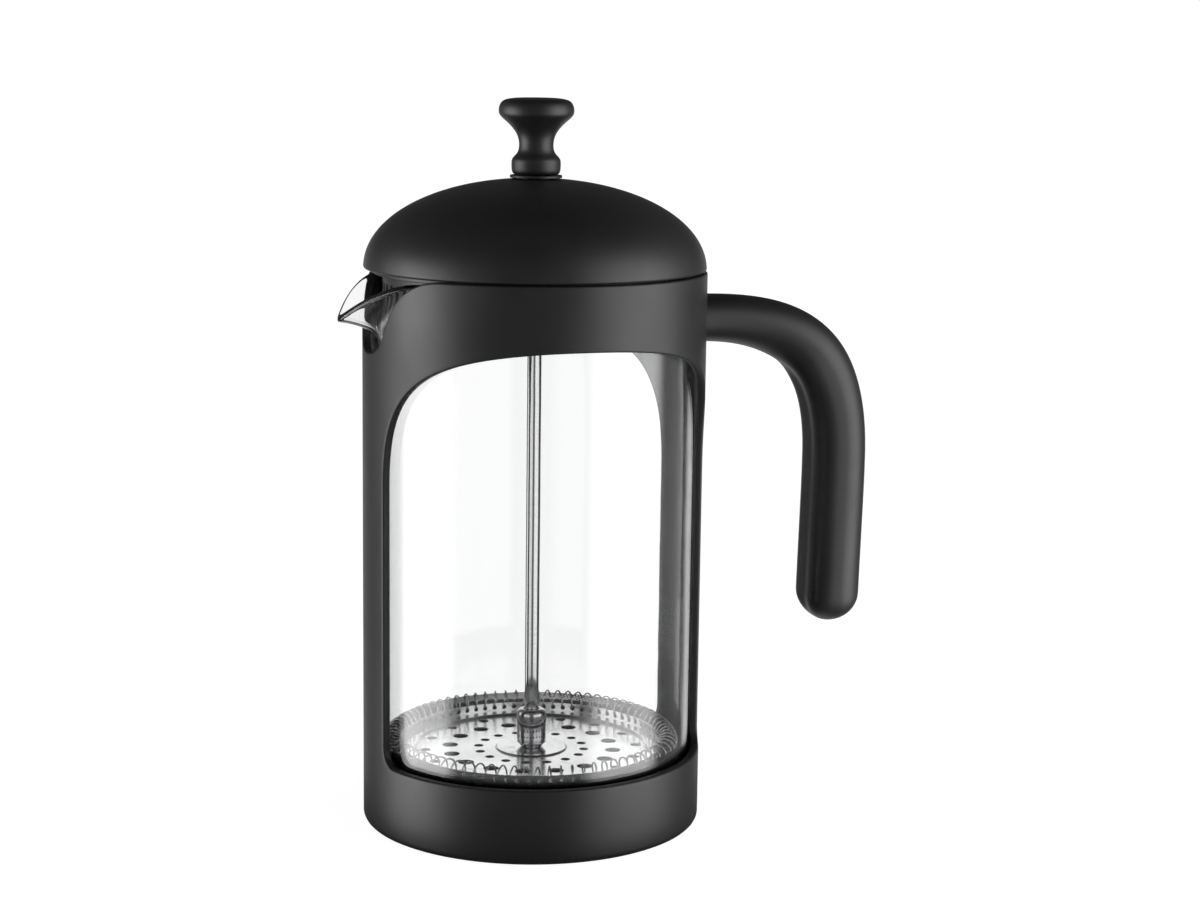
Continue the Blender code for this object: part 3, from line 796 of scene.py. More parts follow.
# %% Make the carrier
WALL = 2.6 * MM
WINDOW_EDGE = 0.7 * MM
RIM_EDGE = 0.6 * MM
GUARD = 2.2  # a second line, this many roundings away, keeps the triangles at an edge even
SKIRTING = 8 * MM
COLUMNS = 144
SCREW_Z = ((foot_of("handle_screw_lower") + top_of("handle_screw_lower")) / 2,
           (foot_of("handle_screw_upper") + top_of("handle_screw_upper")) / 2)
SINK_R = 3.0 * MM
SINK_SHAPE = ((SINK_R, 0), (1.8 * MM, 1.2 * MM), (0.01 * MM, 1.2 * MM))
CUP_OUTSIDE = [(53.5, 8, 0), (53.5, 0, 2.2), (47.6, 0, 0.5), (46.8, 0.8, 0.5), (0, 0.8, 0)]
CUP_INSIDE = [(50.9, 8, 0), (50.9, 2.6, 3), (0, 2.6, 0)]
inner_r = FRAME_R - WALL


def round_loop(z, radius, count=24):
    """A small circle on the wall, on the handle's side."""
    return np.array([(radius / inner_r * math.cos(t), z + radius * math.sin(t))
                     for t in np.linspace(0, 2 * math.pi, count, endpoint=False)])


def make_carrier():
    bm = bmesh.new()
    windows = (front_window, back_window)
    holes = [[shifted(w, WINDOW_EDGE), shifted(w, GUARD * WINDOW_EDGE)] for w in windows]
    lines = [shifted(top_edge, RIM_EDGE, closed=False),
             shifted(top_edge, GUARD * RIM_EDGE, closed=False)]
    points, faces = sheet_triangles(SKIRTING, holes, lines, COLUMNS)
    add_faces(bm, [wrapped(a, z, FRAME_R) for a, z in points], faces)
    sinks = [[round_loop(z, SINK_R)] for z in SCREW_Z]
    points, faces = sheet_triangles(SKIRTING, holes + sinks, lines, COLUMNS)
    add_faces(bm, [wrapped(a, z, inner_r) for a, z in points], faces[:, ::-1])
    for z in SCREW_Z:
        rows = [[wrapped(a, h, inner_r + depth) for a, h in round_loop(z, radius)]
                for radius, depth in SINK_SHAPE]
        add_faces(bm, *strips(rows, True))
    for window in windows:
        edge_round(bm, window, FRAME_R, inner_r, WINDOW_EDGE, True)
    edge_round(bm, top_edge, FRAME_R, inner_r, RIM_EDGE, False)
    for outline in (rounded(CUP_OUTSIDE), rounded(CUP_INSIDE)):
        rows = [[wrapped(a, z, r) for a in np.linspace(-math.pi, math.pi, COLUMNS + 1)]
                for r, z in outline]
        add_faces(bm, *strips(rows, False))
    bmesh.ops.remove_doubles(bm, verts=bm.verts, dist=0.00002)
    bmesh.ops.dissolve_degenerate(bm, edges=bm.edges, dist=0.000001)
    return mesh_piece("carrier_moulding", closed_up(bm), black_plastic)


keep("carrier_frame", make_carrier())

# %% [markdown]
# ## Handle
#
# The cane handle leaves the ring level, bends down and ends in a free rounded tip. Its section
# changes on the way: nearly round at the root, then a D whose flatter side faces the carrier
# and carries a shallow hollow for the fingers. A loft does this: one ring of points for each
# station of a curved centre line.

# %% Make the handle
ROOT_Z = sum(SCREW_Z) / 2
GRIP_X = 103.3 * MM
BEND_END = 112 * MM
TIP_LENGTH = 9.6 * MM
ROOT_GAP = 0.3 * MM
ROOT_DEEP, GROWS_DEEP = 7.6, 2.5
ROOT_WIDE, GROWS_WIDE = 8.6, 1.6
HOLLOW, HOLLOW_HALF = 0.16, 0.42


def eased(t):
    t = min(max(t, 0.0), 1.0)
    return t * t * (3 - 2 * t)


def handle_section(share, shrink, count=72):
    """Points of the section, outwards from the bend and sideways."""
    deep = (ROOT_DEEP + GROWS_DEEP * eased(share / 0.55)) * MM * shrink
    wide = (ROOT_WIDE + GROWS_WIDE * eased(share / 0.5)) * MM * shrink
    flat = eased((share - 0.22) / 0.3) * shrink
    section = []
    for i in range(count):
        turn = 2 * math.pi * i / count
        out, side = math.cos(turn), math.sin(turn)
        if out < 0:
            out = -abs(out) ** (1 - 0.45 * flat)
            out += HOLLOW * flat * math.exp(-(side / HOLLOW_HALF) ** 2)
        section.append((out * deep, side * wide))
    return section


def handle_stations(tip_steps=12):
    """Centre, forward direction, share of the way and shrink, from the root to the tip."""
    bend = bezier((FRAME_R + ROOT_GAP, ROOT_Z), (89.5 * MM, ROOT_Z), (GRIP_X, 145.2 * MM),
                  (GRIP_X, BEND_END), 56)
    grip = bezier((GRIP_X, BEND_END), (GRIP_X, 100 * MM), (102.7 * MM, 85 * MM),
                  (102.3 * MM, 66.5 * MM), 12)
    line = [Vector((x, 0, z)) for x, z in bend + grip[1:]]
    last = len(line) - 1
    stations = [(p, (line[min(i + 1, last)] - line[max(i - 1, 0)]).normalized(), i / last, 1.0)
                for i, p in enumerate(line)]
    end, forward = stations[-1][:2]
    for k in range(1, tip_steps + 1):
        turn = math.radians(90 * k / tip_steps)
        stations.append((end + forward * TIP_LENGTH * math.sin(turn), forward, 1.0,
                         max(math.cos(turn), 0.02)))
    return stations


def make_handle():
    rows = []
    for centre, forward, share, shrink in handle_stations():
        outward = forward.cross(Vector((0, 1, 0))).normalized()
        rows.append([centre + outward * out + Vector((0, side, 0))
                     for out, side in handle_section(share, shrink)])
    for point in rows[0]:
        point.x = math.sqrt((FRAME_R + ROOT_GAP) ** 2 - point.y ** 2)
    bm = bmesh.new()
    add_faces(bm, *strips(rows, True))
    bm.verts.ensure_lookup_table()
    count = len(rows[0])
    bm.faces.new(bm.verts[:count])
    bm.faces.new(bm.verts[-count:])
    return mesh_piece("cane_handle", closed_up(bm), black_plastic)


keep("handle", make_handle())

# %% [markdown]
# ## Handle screws
#
# Two pan-head screws go through the ring into the handle from inside, where nobody sees them
# until the glass is out. Each is spun from an outline, and a cross recess is pressed into the
# head with a Boolean, as the driver needs one.

# %% Make the screws
def prism(outline, low, high):
    """A closed block with the given outline of (x, y) points, from low to high."""
    bm = bmesh.new()
    add_faces(bm, *strips([[Vector((x, y, z)) for x, y in outline] for z in (low, high)], True))
    bm.verts.ensure_lookup_table()
    count = len(outline)
    bm.faces.new(bm.verts[:count])
    bm.faces.new(bm.verts[count:])
    return closed_up(bm)


def carved(piece, cutter_mesh):
    """Takes one closed shape away from a piece and keeps the result as a plain mesh."""
    cutter = mesh_piece("cutter", cutter_mesh, piece.data.materials[0])
    cut = piece.modifiers.new("cut", "BOOLEAN")
    cut.operation = "DIFFERENCE"
    cut.solver = "EXACT"
    cut.object = cutter
    graph = bpy.context.evaluated_depsgraph_get()
    shaped = bpy.data.meshes.new_from_object(piece.evaluated_get(graph))
    piece.modifiers.remove(cut)
    bpy.data.objects.remove(cutter)
    piece.data = shaped
    shaped.set_sharp_from_angle(angle=math.radians(38))
    return piece


HEAD_R, SHANK_R, HEAD_DOME = 2.2, 1.5, 0.25
CROSS_ARM, CROSS_HALF, CROSS_DEEP = 1.3 * MM, 0.3 * MM, 0.6 * MM


def make_screw(name, z):
    low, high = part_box(name)
    length = (high.x - low.x) / MM
    outline = [(0, 0, 0), (HEAD_R, 0, HEAD_DOME), (SHANK_R, SHANK_R - HEAD_R, 0),
               (SHANK_R, 2 - length, 0.2), (0.3, -length, 0), (0, -length, 0)]
    screw = turned(name + "_detail", rounded(outline), sheet_steel, steps=32)
    corner = [(CROSS_ARM, CROSS_HALF), (CROSS_HALF, CROSS_HALF), (CROSS_HALF, CROSS_ARM)]
    cross = []
    for quarter in range(4):
        turn = Matrix.Rotation(quarter * math.pi / 2, 2)
        cross += [tuple(turn @ Vector(p)) for p in corner]
    carved(screw, prism(cross, -CROSS_DEEP, CROSS_DEEP))
    screw.data.transform(
        Matrix.Translation((low.x, 0, z)) @ Matrix.Rotation(-math.pi / 2, 4, "Y"))
    return screw


for name, z in zip(("handle_screw_lower", "handle_screw_upper"), SCREW_Z):
    keep(name, make_screw(name, z))

# %% [markdown]
# ## Soft pad
#
# The glass doesn't stand on hard plastic: a silicone ring in the cup takes the knock when it
# is set down. It is a flat ring with rounded lips and three shallow grooves that let it give.

# %% Make the pad
PAD_BORE = 18
pad_low, pad_high, pad_r = in_mm("base_pad")
pad_outline = [(PAD_BORE, pad_low, 0.3), (pad_r, pad_low, 0.3), (pad_r, pad_high, 0.5)]
for groove in (35.5, 29.5, 23.5):
    pad_outline += [(groove + 1.0, pad_high, 0.2), (groove + 0.5, pad_high - 0.7, 0.2),
                    (groove - 0.5, pad_high - 0.7, 0.2), (groove - 1.0, pad_high, 0.2)]
pad_outline += [(PAD_BORE, pad_high, 0.5)]
keep("base_pad", turned("pad_ring", rounded(pad_outline, closed=True, steps=3), silicone,
                        closed=True, steps=96))

# %% [markdown]
# ## Beaker
#
# The beaker is a plain blown cylinder until its rim is heated and a spout is pulled out of it
# with a tool. The outside is spun first, then every point near the spout is moved outwards and
# down, most of all on the spout's own line. A Solidify modifier gives the wall its thickness
# inwards, and a Bevel melts the rim's two edges together, as the flame does.

# %% Make the beaker
GLASS_WALL = 2.2 * MM
GLASS_CORNER = 8.0 * MM
GLASS_RIM = 173.6 * MM
RIM_MELT = 0.9 * MM
SPOUT_REACH = 12.6 * MM             # how far the lip is pulled outwards
SPOUT_DROP = 13.6 * MM              # and how far down
SPOUT_DEPTH = 21.6 * MM             # how far below the rim the wall starts to move
SPOUT_HALF = math.radians(31)       # the wall moves outwards over this half angle
SPOUT_DROP_HALF = math.radians(42)  # and the rim dips over this one
SPOUT_FOLD = 0.03                   # rounds the fold on the spout's line, in radians


def beaker_outline():
    foot = GLASS_R - GLASS_CORNER
    outline = [(0, GLASS_FOOT + 0.9 * MM), (foot * 0.45, GLASS_FOOT + 0.8 * MM),
               (foot * 0.8, GLASS_FOOT + 0.3 * MM)]
    for k in range(11):
        turn = math.radians(-90 + 9 * k)
        outline.append((foot + GLASS_CORNER * math.cos(turn),
                        GLASS_FOOT + GLASS_CORNER * (1 + math.sin(turn))))
    low = GLASS_FOOT + GLASS_CORNER
    start = GLASS_RIM - SPOUT_DEPTH
    outline += [(GLASS_R, low + (start - low) * k / 12) for k in range(1, 13)]
    outline += [(GLASS_R, start + SPOUT_DEPTH * k / 28) for k in range(1, 29)]
    return outline, start


def pull_spout(vert, start):
    """Moves one point of the wall as the spout's tool would."""
    swell = (vert.co.z - start) / SPOUT_DEPTH
    if swell <= 0:
        return
    angle = math.atan2(vert.co.y, -vert.co.x)
    across = math.hypot(abs(angle), SPOUT_FOLD) - SPOUT_FOLD
    share = max(0.0, 1 - across / SPOUT_HALF)
    flare = 2.1 + 16 * (1 - share) ** 1.5
    radius = GLASS_R + SPOUT_REACH * share ** 1.25 * swell ** flare
    vert.co.x, vert.co.y = -radius * math.cos(angle), radius * math.sin(angle)
    dip = max(0.0, 1 - across / SPOUT_DROP_HALF) ** 2.35
    vert.co.z -= SPOUT_DROP * dip * swell ** 1.28


def make_beaker():
    outline, start = beaker_outline()
    bm = spun(outline, steps=200)
    for vert in bm.verts:
        pull_spout(vert, start)
    beaker = mesh_piece("blown_beaker", bm, clear_glass, sharp=180)
    wall = beaker.modifiers.new("wall", "SOLIDIFY")
    wall.thickness = GLASS_WALL
    wall.offset = -1.0
    wall.use_even_offset = True
    melt = beaker.modifiers.new("fire_polish", "BEVEL")
    melt.width = RIM_MELT
    melt.segments = 4
    melt.limit_method = "ANGLE"
    melt.angle_limit = math.radians(55)
    return beaker


keep("glass_beaker", make_beaker())

# %% [markdown]
# ## Lid dome
#
# The dome is a superellipse: fuller than half a circle near its rim and flatter on top. It is a
# thin shell, open below, with a small rounded lip that throws a fine shadow line on the
# carrier.

# %% Make the dome
DOME_POWER = 2.06
DOME_RISE = 27.9 * MM
LID_WALL = 2.0 * MM
DOME_HOLE = 5.3 * MM
DOME_LIP = 1.0 * MM


def dome_curve(radius, rise, steps):
    curve = []
    for k in range(steps + 1):
        turn = math.pi / 2 * k / steps
        r = DOME_HOLE + (radius - DOME_HOLE) * math.sin(turn)
        curve.append((r, LID_FOOT + rise * (1 - (r / radius) ** DOME_POWER) ** (1 / DOME_POWER)))
    return curve


def make_dome():
    outer = dome_curve(LID_R, DOME_RISE, 56)
    outer = [p for p in outer if p[1] > LID_FOOT + DOME_LIP * 1.05]
    lip = [(LID_R - DOME_LIP * (1 - math.cos(t)), LID_FOOT + DOME_LIP * (1 - math.sin(t)))
           for t in (math.pi / 2 * k / 6 for k in range(7))]
    inner = dome_curve(LID_R - LID_WALL, DOME_RISE - LID_WALL, 40)[::-1]
    return turned("domed_lid", outer + lip + inner, black_plastic, closed=True, steps=160)


keep("lid_dome", make_dome())

# %% [markdown]
# ## A punched strip, rolled up
#
# The skirt under the lid has a row of pouring slots, and the edge of the spring plate has a
# row of round holes. Both are the same idea: a flat strip is punched and then rolled into a
# ring. The tree does just that. It fills an outline with holes in it, gives the sheet its
# thickness, and bends it round the axis. Numbers with names set the radius, the heights, and
# how many holes of what shape there are.

# %% Tree: punched strip
strip_tree, strip_in, strip_out = new_group(
    "GeometryNodeTree", "punched_strip",
    [("Radius", FLOAT, 0.04), ("Low", FLOAT, 0.0), ("High", FLOAT, 0.01),
     ("Thickness", FLOAT, 0.001), ("Holes", INT, 12), ("Pitch", FLOAT, 0.1),
     ("Hole Width", FLOAT, 0.002), ("Hole Height", FLOAT, 0.002), ("Corner", FLOAT, 0.0005),
     ("Hole Middle", FLOAT, 0.005), ("Cuts", INT, 95), ("Material", MATERIAL, None)],
    [("Geometry", GEOMETRY)])


def on_circle(tree, reach, angle, z=0.0):
    """The point at a distance from the axis, at an angle round it and at a height."""
    return xyz(tree, times(tree, reach, calc(tree, "COSINE", angle)),
               times(tree, reach, calc(tree, "SINE", angle)), z)


def thickened(tree, face, thickness):
    """A flat sheet becomes a solid: it is raised, and a turned-over copy closes it below."""
    raised = add(tree, "GeometryNodeExtrudeMesh", {
        0: face, "Offset": xyz(tree, z=1.0), "Offset Scale": thickness, "Individual": False})
    flipped = add(tree, "GeometryNodeFlipFaces", {0: face})
    both = add(tree, "GeometryNodeJoinGeometry")
    tree.links.new(flipped.outputs[0], both.inputs[0])
    tree.links.new(raised.outputs[0], both.inputs[0])
    return both.outputs[0]


def finish_tree(tree, geometry, material, out):
    real = add(tree, "GeometryNodeRealizeInstances", {0: geometry})
    merged = add(tree, "GeometryNodeMergeByDistance", {0: real.outputs[0], "Distance": 0.000005})
    dressed = add(tree, "GeometryNodeSetMaterial", {0: merged.outputs[0], "Material": material})
    tree.links.new(dressed.outputs[0], out.inputs[0])


def build_strip_tree(tree, given, out):
    value = given.outputs
    sheet = add(tree, "GeometryNodeCurvePrimitiveQuadrilateral",
                {"Width": times(tree, value["Radius"], 2 * math.pi),
                 "Height": minus(tree, value["High"], value["Low"])})
    middle = times(tree, plus(tree, value["High"], value["Low"]), 0.5)
    sheet = add(tree, "GeometryNodeTransform",
                {0: sheet.outputs[0], "Translation": xyz(tree, y=middle)})
    sheet = add(tree, "GeometryNodeSubdivideCurve", {0: sheet.outputs[0], "Cuts": value["Cuts"]})
    hole = add(tree, "GeometryNodeCurvePrimitiveQuadrilateral",
               {"Width": value["Hole Width"], "Height": value["Hole Height"]})
    hole = add(tree, "GeometryNodeFilletCurve",
               {0: hole.outputs[0], "Count": 3, "Radius": value["Corner"], "Limit Radius": True},
               mode="POLY")
    step = times(tree, value["Pitch"], value["Radius"])
    first = times(tree, step, times(tree, minus(tree, value["Holes"], 1.0), -0.5))
    row = add(tree, "GeometryNodeMeshLine", {
        "Count": value["Holes"], "Start Location": xyz(tree, first, value["Hole Middle"]),
        "Offset": xyz(tree, step)})
    holes = add(tree, "GeometryNodeInstanceOnPoints",
                {"Points": row.outputs[0], "Instance": hole.outputs[0]})
    real = add(tree, "GeometryNodeRealizeInstances", {0: holes.outputs[0]})
    join = add(tree, "GeometryNodeJoinGeometry")
    tree.links.new(real.outputs[0], join.inputs[0])
    tree.links.new(sheet.outputs[0], join.inputs[0])
    face = add(tree, "GeometryNodeFillCurve", {0: join.outputs[0]}, mode="TRIANGLES")
    solid = thickened(tree, face.outputs[0], value["Thickness"])
    point = add(tree, "GeometryNodeInputPosition").outputs[0]
    place = add(tree, "ShaderNodeSeparateXYZ", {0: point}).outputs
    angle = calc(tree, "DIVIDE", place[0], value["Radius"])
    reach = times(tree, minus(tree, value["Radius"], place[2]), -1.0)
    rolled = add(tree, "GeometryNodeSetPosition",
                 {0: solid, "Position": on_circle(tree, reach, angle, place[1])})
    finish_tree(tree, rolled.outputs[0], value["Material"], out)


build_strip_tree(strip_tree, strip_in, strip_out)
print("tree:", strip_tree.name, "with", len(strip_tree.nodes), "nodes")

# %% [markdown]
# ## Lid insert
#
# Under the dome sits an insert: a flat web that rests on the glass, and a skirt that hangs into
# it. The slots in the skirt face the spout, and turning the lid shuts them. The skirt is the
# rolled strip, the web is spun, and both become one moulding.

# %% Make the insert
SKIRT_R = 47.2
MOULDED_T = 1.6
INSERT_BORE = 2.85
skirt_low, web_high, rim_r = in_mm("lid_insert")
web_low = web_high - MOULDED_T
skirt = grow("skirt", strip_tree, {
    "Radius": SKIRT_R * MM, "Low": skirt_low * MM, "High": web_low * MM,
    "Thickness": MOULDED_T * MM, "Holes": 11, "Pitch": math.radians(5.6),
    "Hole Width": 2.2 * MM, "Hole Height": 8.4 * MM, "Corner": 0.7 * MM,
    "Hole Middle": (skirt_low + web_low) / 2 * MM, "Cuts": 119}, black_plastic)
web = turned("web", rounded([(INSERT_BORE, web_high, 0.2), (rim_r, web_high, 0.4),
                             (rim_r, web_low, 0.3), (INSERT_BORE, web_low, 0.2)], closed=True),
             black_plastic, closed=True, steps=120)
keep("lid_insert", one_piece("slotted_insert", [skirt, web], black_plastic))

# %% [markdown]
# ## Rod guide and nut
#
# A small bush in the middle of the dome guides the rod. Its flange shows as a thin collar on
# top of the lid, and a hexagon nut holds it from below. The nut is a stack of rings whose points
# follow a hexagon. Its corners are cut back by a cone, which is how a real nut gets its curved
# shoulders.

# %% Make the guide and its nut
GUIDE_BORE, GUIDE_NECK, FLANGE_T = 2.55, 5.0, 0.85
guide_low, guide_high, flange_r = in_mm("rod_guide")
keep("rod_guide", turned("rod_bush", rounded([
    (GUIDE_BORE, guide_high, 0.25), (flange_r, guide_high, 0.3),
    (flange_r, guide_high - FLANGE_T, 0.15), (GUIDE_NECK, guide_high - FLANGE_T, 0),
    (GUIDE_NECK, guide_low, 0.4), (GUIDE_BORE, guide_low, 0.3)],
    closed=True, steps=4), black_plastic, closed=True, steps=72))

NUT_CORNER = 8.0 * MM
NUT_BORE = 5.3 * MM
NUT_SHOULDER = 0.93 * NUT_CORNER
NUT_SLOPE = 0.55
NUT_STEPS = 72


def nut_ring(z, radius=None):
    """A ring of (radius, angle, height): a circle, or a hexagon where no radius is given."""
    ring = []
    for k in range(NUT_STEPS):
        turn = 2 * math.pi * k / NUT_STEPS
        hexagon = NUT_CORNER * math.cos(math.pi / 6) / math.cos(
            (turn + math.pi / 6) % (math.pi / 3) - math.pi / 6)
        ring.append((radius or hexagon, turn, z))
    return ring


def nut_face(ring, sign):
    """A hexagon's corners are cut back to a circle on the face and slope down from it."""
    face = [(min(r, NUT_SHOULDER), turn, z) for r, turn, z in ring]
    slope = [(r, turn, z + sign * (max(0.0, r - NUT_SHOULDER) * NUT_SLOPE + 0.05 * MM))
             for r, turn, z in ring]
    return face, slope


def make_nut():
    low, high = foot_of("guide_nut"), top_of("guide_nut")
    low_face, low_slope = nut_face(nut_ring(low), 1)
    high_face, high_slope = nut_face(nut_ring(high), -1)
    bore = nut_ring(low, NUT_BORE)
    rings = [bore, low_face, low_slope, high_slope, high_face, nut_ring(high, NUT_BORE), bore]
    bm = bmesh.new()
    add_faces(bm, *strips([[wrapped(t, z, r) for r, t, z in ring] for ring in rings], True))
    return mesh_piece("hexagon_nut", closed_up(bm), sheet_steel, sharp=25)


keep("guide_nut", make_nut())

# %% [markdown]
# ## Knob
#
# The knob is a small mushroom: a cap to pull by, a waist for two fingers and a collar that
# meets the lid. A smooth line through a dozen points gives its outline more truly than circles
# would. Inside is a brass insert with the thread, so the plastic isn't stripped by use. Small
# ridges round its bore stand in for the thread, which nobody ever sees.

# %% Make the knob
KNOB_LINE = (
    (0.0, 0.0), (3.5, 0.03), (6.8, 0.16), (9.2, 0.55), (10.6, 1.25), (11.35, 2.4), (11.65, 3.8),
    (11.42, 5.1), (10.5, 6.25), (9.2, 7.4), (7.9, 8.65), (6.85, 9.9), (6.08, 11.15),
    (5.6, 12.4), (5.36, 13.6), (5.32, 14.8), (5.5, 16.0), (6.0, 17.05), (6.85, 18.0),
    (7.4, 18.75), (7.6, 19.7), (7.6, 21.2), (7.5, 22.3), (7.2, 23.0), (6.7, 23.38))
ROD_ROOM = 0.3 * MM


def make_knob():
    outside = [(r * MM, KNOB_TOP - down * MM) for r, down in through(KNOB_LINE, 4)]
    rod_end = top_of("plunger_rod") + ROD_ROOM
    socket_top = KNOB_FOOT + 9.5 * MM
    socket_r = ROD_R + 1.4 * MM
    inside_line = [(socket_r + 0.3 * MM, KNOB_FOOT - 0.1 * MM), (socket_r, KNOB_FOOT + 0.3 * MM),
                   (socket_r, socket_top), (ROD_R + ROD_ROOM, socket_top),
                   (ROD_R + ROD_ROOM, rod_end), (0, rod_end)]
    return turned("mushroom_knob", outside + inside_line, black_plastic, steps=96)


keep("knob", make_knob())
insert_low, insert_high, insert_r = in_mm("knob_insert")
thread_r = ROD_R / MM + 0.3
THREAD_DEPTH = 0.12
THREAD_STEPS = 20
thread = [(thread_r + THREAD_DEPTH * (k % 2),
           insert_low + (insert_high - insert_low) * k / THREAD_STEPS, 0)
          for k in range(1, THREAD_STEPS)]
keep("knob_insert", turned("brass_insert", rounded(
    [(insert_r, insert_high, 0.2), (insert_r, insert_low, 0.2), (thread_r, insert_low, 0.1)]
    + thread + [(thread_r, insert_high, 0.1)],
    closed=True, steps=3), brass, closed=True, steps=48))

# %% [markdown]
# ## Rod and hub
#
# The rod is a straight ground bar with a small chamfer at each end. It screws into a plated
# hub that clamps the filter: a short cylinder with a rounded shoulder, a fine groove near its
# foot and a chamfer below it.

# %% Make the rod and hub
STUD_BORE = 1.8
GROOVE_DEEP = 0.35
rod_low, rod_high, rod_r = in_mm("plunger_rod")
keep("plunger_rod", turned("polished_rod", rounded([
    (0, rod_high, 0), (rod_r, rod_high, 0.4), (rod_r, rod_low, 0.3), (0, rod_low, 0)]),
    rod_steel, steps=64))
hub_low, hub_high, hub_r = in_mm("rod_hub")
keep("rod_hub", turned("plated_hub", rounded([
    (0, rod_low - 0.1, 0), (rod_r + 0.3, rod_low - 0.1, 0), (rod_r + 0.3, hub_high, 0.15),
    (hub_r, hub_high, 1.8), (hub_r, hub_low + 2.5, 0.12),
    (hub_r - GROOVE_DEEP, hub_low + 2.3, 0.05), (hub_r - GROOVE_DEEP, hub_low + 2.0, 0.05),
    (hub_r, hub_low + 1.8, 0.12), (hub_r, hub_low + 1.5, 0.2), (hub_r - 1.3, hub_low, 0.2),
    (STUD_BORE, hub_low, 0), (STUD_BORE, rod_low - 1.1, 0), (0, rod_low - 1.1, 0)]),
    chrome, steps=80))

# %% [markdown]
# ## A disc with rings of holes
#
# The spring plate and the cross plate under it are both round blanks with holes set out on
# circles. One small tree makes a single ring of holes: each hole is a four-sided outline with
# rounded corners, which turns into a circle when its corners are fully rounded, and into a
# petal when its outer side is wider. The disc's tree places up to three such rings in a blank
# and gives the sheet its thickness.

# %% Tree: ring of holes
RING_INPUTS = [
    ("Ring Radius", FLOAT, 0.02), ("Inner Width", FLOAT, 0.003), ("Outer Width", FLOAT, 0.003),
    ("Length", FLOAT, 0.003), ("Corner", FLOAT, 0.0015), ("Count", INT, 16),
    ("Phase", FLOAT, 0.0)]
ring_tree, ring_in, ring_out = new_group(
    "GeometryNodeTree", "ring_of_holes", RING_INPUTS, [("Curves", GEOMETRY)])


def build_ring_tree(tree, given, out):
    value = given.outputs
    hole = add(tree, "GeometryNodeCurvePrimitiveQuadrilateral",
               {"Bottom Width": value["Inner Width"], "Top Width": value["Outer Width"],
                "Height": value["Length"], "Offset": 0.0}, mode="TRAPEZOID")
    hole = add(tree, "GeometryNodeFilletCurve",
               {0: hole.outputs[0], "Count": 5, "Radius": value["Corner"],
                "Limit Radius": True}, mode="POLY")
    step = calc(tree, "DIVIDE", 2 * math.pi, value["Count"])
    index = add(tree, "GeometryNodeInputIndex").outputs[0]
    turn = plus(tree, times(tree, index, step), value["Phase"])
    marks = add(tree, "GeometryNodePoints", {
        "Count": value["Count"], "Position": on_circle(tree, value["Ring Radius"], turn)})
    facing = add(tree, "FunctionNodeEulerToRotation",
                 {0: xyz(tree, z=minus(tree, turn, math.pi / 2))})
    holes = add(tree, "GeometryNodeInstanceOnPoints",
                {"Points": marks.outputs[0], "Instance": hole.outputs[0],
                 "Rotation": facing.outputs[0]})
    real = add(tree, "GeometryNodeRealizeInstances", {0: holes.outputs[0]})
    tree.links.new(real.outputs[0], out.inputs[0])


build_ring_tree(ring_tree, ring_in, ring_out)
print("tree:", ring_tree.name)

# %% Tree: pierced disc
LETTERS = "ABC"
disc_tree, disc_in, disc_out = new_group(
    "GeometryNodeTree", "pierced_disc",
    [("Radius", FLOAT, 0.03), ("Bore", FLOAT, 0.002), ("Low", FLOAT, 0.0),
     ("Thickness", FLOAT, 0.001)]
    + [(f"{letter} {name}", kind, value) for letter in LETTERS
       for name, kind, value in RING_INPUTS]
    + [("Material", MATERIAL, None)], [("Geometry", GEOMETRY)])


def build_disc_tree(tree, given, out):
    value = given.outputs
    join = add(tree, "GeometryNodeJoinGeometry")
    for label, points in (("Radius", 144), ("Bore", 32)):
        circle = add(tree, "GeometryNodeCurvePrimitiveCircle",
                     {"Resolution": points, "Radius": value[label]})
        tree.links.new(circle.outputs[0], join.inputs[0])
    for letter in LETTERS:
        ring = add(tree, "GeometryNodeGroup",
                   {name: value[f"{letter} {name}"] for name, _, _ in RING_INPUTS},
                   node_tree=ring_tree)
        tree.links.new(ring.outputs[0], join.inputs[0])
    face = add(tree, "GeometryNodeFillCurve", {0: join.outputs[0]}, mode="TRIANGLES")
    solid = thickened(tree, face.outputs[0], value["Thickness"])
    placed = add(tree, "GeometryNodeTransform",
                 {0: solid, "Translation": xyz(tree, z=value["Low"])})
    finish_tree(tree, placed.outputs[0], value["Material"], out)


def ring_values(letter, *numbers):
    """The numbers of one ring of holes, under the names that the disc's tree gives them."""
    return {f"{letter} {row[0]}": number for row, number in zip(RING_INPUTS, numbers)}


build_disc_tree(disc_tree, disc_in, disc_out)
print("tree:", disc_tree.name)

# %% [markdown]
# ## Spring plate
#
# The plate is pressed from bright sheet. Its flat is pierced by three rings of holes, a low
# boss stiffens the middle, and the edge steps up and turns up into a low wall. The coil is
# threaded through a row of small holes in that wall, one hole for each turn.

# %% Make the spring plate
PLATE_T = 0.6
PLATE_R = 37.0
PLATE_HOLES = ((16.9, 3.0, 0.0), (26.2, 5.0, 0.0), (33.9, 3.4, 0.5))
HOLES_IN_RING = 16
HOLE_PHASE = math.radians(-23)
BOSS_TOP_R, BOSS_FOOT_R, BOSS_RISE = 10.9, 11.6, 0.5
STEP_UP = 0.8
WALL_R, WALL_HIGH = 42.1, 24.9
COIL_TURNS = 78
plate_low = foot_of("spiral_plate") / MM
flat_top = plate_low + PLATE_T
disc_values = {"Radius": PLATE_R * MM, "Bore": STUD_BORE * MM, "Low": plate_low * MM,
               "Thickness": PLATE_T * MM}
for letter, (ring_r, width, offset) in zip(LETTERS, PLATE_HOLES):
    disc_values.update(ring_values(
        letter, ring_r * MM, width * MM, width * MM, width * MM, width * 0.5 * MM,
        HOLES_IN_RING, HOLE_PHASE + offset * math.pi / 8))
flat = grow("flat", disc_tree, disc_values, sheet_steel)
